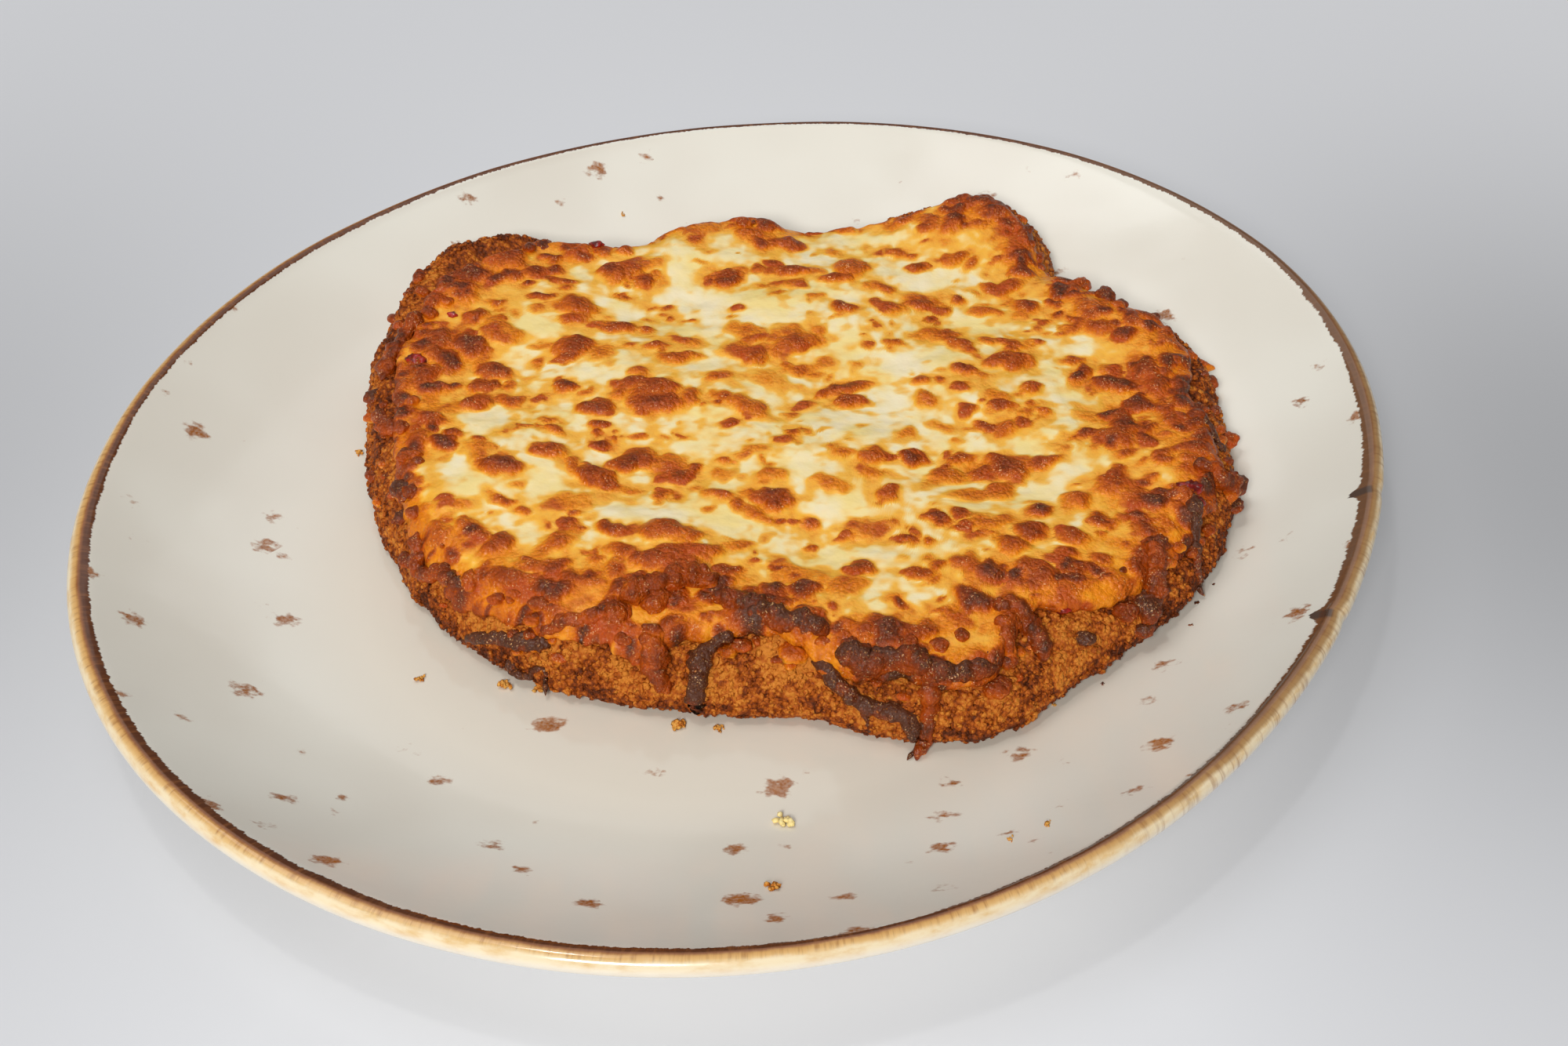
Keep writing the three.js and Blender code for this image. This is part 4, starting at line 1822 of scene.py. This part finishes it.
        level = toast[:, None, None] + 0.14 * noise.at(points + 9, 2.0) + 0.28 * ball[None, ..., 2]
        return points, level

    @staticmethod
    def end_sides(at: float) -> bool:
        """Whether an angle in degrees is at an end, where blisters reach far down."""
        return abs(at) > 148 or -26 < at < 22

    def sauce_rings(self) -> Array:
        """Small wet lumps of sauce, half sunk where the cheese ends.

        Returns:
            The rings' points.
        """
        spots = np.array(self.sauce_spots)
        centre = CHEESE.skin(PLATE, CUTLET, np.radians(spots[:, 0]), spots[:, 1])
        ball = ball_rings(*self.sauce_size) * (1.0, 0.7, 0.55)
        half = spots[:, 2][:, None, None, None]
        points = ball[None] * half + centre[:, None, None]
        noise = Noise(Seed.SAUCE)
        lump = (noise.at(points, 1.4) + noise.at(points, 0.7))[..., None]
        return points + 0.35 * ball[None] * lump * half

    def crumb_mesh(self, name: str, spots: tuple[Triple, ...], seed: int,
                   bake_and_shade: float) -> Piece:
        """Fallen crumbs: each is a heap of a few rough grains on the plate.

        Args:
            name: the piece's name.
            spots: x, y and half width of each crumb.
            seed: the seed of the heap.
            bake_and_shade: how far they are baked.

        Returns:
            All of them as one piece.
        """
        draw = np.random.default_rng(seed)
        table = np.repeat(np.array(spots), self.heap, axis=0)
        around = draw.normal(0, 0.5, size=(len(table), 2)) * table[:, 2:3]
        x, y = table[:, 0] + around[:, 0], table[:, 1] + around[:, 1]
        size = table[:, 2] * draw.uniform(0.2, 0.5, len(table))
        rise = 0.6 * size + 0.4 * table[:, 2] * draw.random(len(table))
        centre = np.stack([x, y, PLATE.bed(x, y) + rise], axis=-1)
        up = np.tile((0.0, 0.0, 1.0), (len(table), 1))
        points, faces = grains(centre, up, size, 0.8, seed + 1)
        points[:, 2] = np.maximum(points[:, 2], PLATE.bed(points[:, 0], points[:, 1]) + 0.03)
        level = np.repeat(bake_and_shade * (1 + draw.normal(0, 0.4, len(table))), GRAIN_POINTS)
        return build_mesh(name, self.place.metres(points), [faces], {"bake_and_shade": level, "toast": level})

    def build(self) -> dict[str, Piece]:
        """Make every piece.

        Returns:
            The pieces by name.
        """
        ropes, rope_toast = self.rope_rings()
        blisters, blister_toast = self.blister_rings()
        made = (
            closed_turns("cheese_ropes", self.place, ropes, {"toast": rope_toast}),
            closed_turns("cheese_blisters", self.place, blisters, {"toast": blister_toast}),
            closed_turns("sauce_glimpses", self.place, self.sauce_rings(), {}),
            self.crumb_mesh("fallen_crumbs", self.crumbs, Seed.FALLEN_CRUMBS, 0.12),
            self.crumb_mesh("burnt_crumbs", self.burnt_crumbs, Seed.BURNT_CRUMBS, 0.95),
            self.crumb_mesh("cheese_crumb", (self.cheese_crumb,), Seed.CHEESE_CRUMB, 0.0),
        )
        return {piece.name: piece for piece in made}

    def dress(self, pieces: dict[str, Piece], crumb: bpy.types.Material,
              cheese: bpy.types.Material) -> None:
        """Finish the pieces like the crust, the cheese and the sauce that they come from.

        Args:
            pieces: the pieces by name.
            crumb, cheese: the finishes of the crust and of the cheese.
        """
        for name in ("cheese_ropes", "cheese_blisters", "cheese_crumb"):
            dress(pieces[name], cheese, "cheese")
        dress(pieces["burnt_crumbs"], crumb, "breading")
        pale = CrustFinish(golden=srgb(232, 172, 84), orange=srgb(206, 124, 42))
        dress(pieces["fallen_crumbs"], pale.material("loose_crumb"), "breading")
        dress(pieces["sauce_glimpses"], SauceFinish().material(), "sauce")


# ------------------------------------------------------------------ stage, lights and camera


@dataclass(frozen=True)
class Lamp:
    """A square soft light that looks at the plate."""

    name: str
    place: Triple
    size: float
    power: float
    colour: Triple = (1.0, 1.0, 1.0)

    def build(self) -> None:
        """Hang the lamp and turn it to the plate."""
        data = bpy.data.lights.new(self.name, "AREA")
        data.shape = "SQUARE"
        data.size = self.size
        data.energy = self.power
        data.color = self.colour
        lamp = bpy.data.objects.new(self.name, data)
        lamp.location = self.place
        lamp.rotation_euler = (-Vector(self.place)).to_track_quat("-Z", "Y").to_euler()
        bpy.context.scene.collection.objects.link(lamp)


@dataclass
class Studio:
    """The pale table, the soft lights and the camera."""

    lamps: tuple[Lamp, ...] = (
        Lamp("key_light", (-0.5, -2.4, 1.9), 0.8, 68.0, (1.0, 0.985, 0.96)),
        Lamp("top_light", (-0.5, 0.1, 1.25), 0.8, 4.2, (0.96, 0.98, 1.0)),
        Lamp("glint_light", (-0.3, -0.1, 1.5), 0.1, 2.0, (1.0, 0.99, 0.97)),
        Lamp("back_panel", (0.0, 1.45, 1.55), 1.3, 3.9, (1.0, 1.0, 1.0)),
    )
    ambient: Colour = (0.12, 0.122, 0.126, 1.0)
    elevation: float = 41.0
    distance: float = 0.52515
    lens: float = 59.4
    aim: tuple[float, float] = (0.00874, -0.01923)
    table_half: float = 3.0

    def build(self) -> None:
        """Set out the table, the lamps, the ambient light and the camera."""
        scene = bpy.context.scene
        scene.view_settings.view_transform = "Standard"
        world = bpy.data.worlds.new("studio")
        world.use_nodes = True
        backdrop = world.node_tree.nodes["Background"]
        backdrop.inputs["Color"].default_value = self.ambient
        backdrop.inputs["Strength"].default_value = 1.0
        scene.world = world
        for lamp in self.lamps:
            lamp.build()
        self.table()
        self.camera()

    def table(self) -> None:
        """A wide flat table under the foot."""
        low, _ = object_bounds()
        half = self.table_half
        outline = np.array([(-half, -half), (half, -half), (half, half), (-half, half)])
        corners = np.column_stack([outline, np.full(4, float(low[2]))])
        table = build_mesh("table", corners, [np.array([[0, 1, 2, 3]])], {})
        table.data.materials.append(TableFinish().material())
        table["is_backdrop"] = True

    def camera(self) -> None:
        """Look down at the plate's rim along +Y."""
        _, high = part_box("plate")
        lean = math.radians(self.elevation)
        target = Vector((self.aim[0], self.aim[1], high[2]))
        data = bpy.data.cameras.new("camera")
        data.lens = self.lens
        camera = bpy.data.objects.new("camera", data)
        camera.location = target + self.distance * Vector((0, -math.cos(lean), math.sin(lean)))
        camera.rotation_euler = (math.pi / 2 - lean, 0, 0)
        bpy.context.scene.collection.objects.link(camera)
        bpy.context.scene.camera = camera


def main() -> None:
    """Build every sub-assembly in order."""
    logging.basicConfig(level=logging.INFO, format="%(name)s: %(message)s")
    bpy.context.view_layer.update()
    place = Placement.from_frame()
    Studio().build()
    plate = Plate(place)
    plate.dress(plate.build())
    cutlet = Cutlet(place)
    crumb = cutlet.dress(cutlet.build(), cutlet.loose_grains())
    cheese = Cheese(place)
    melted = cheese.dress(cheese.build())
    trimmings = Trimmings(place)
    trimmings.dress(trimmings.build(), crumb, melted)
    bpy.context.view_layer.update()


if __name__ == "__main__":
    main()
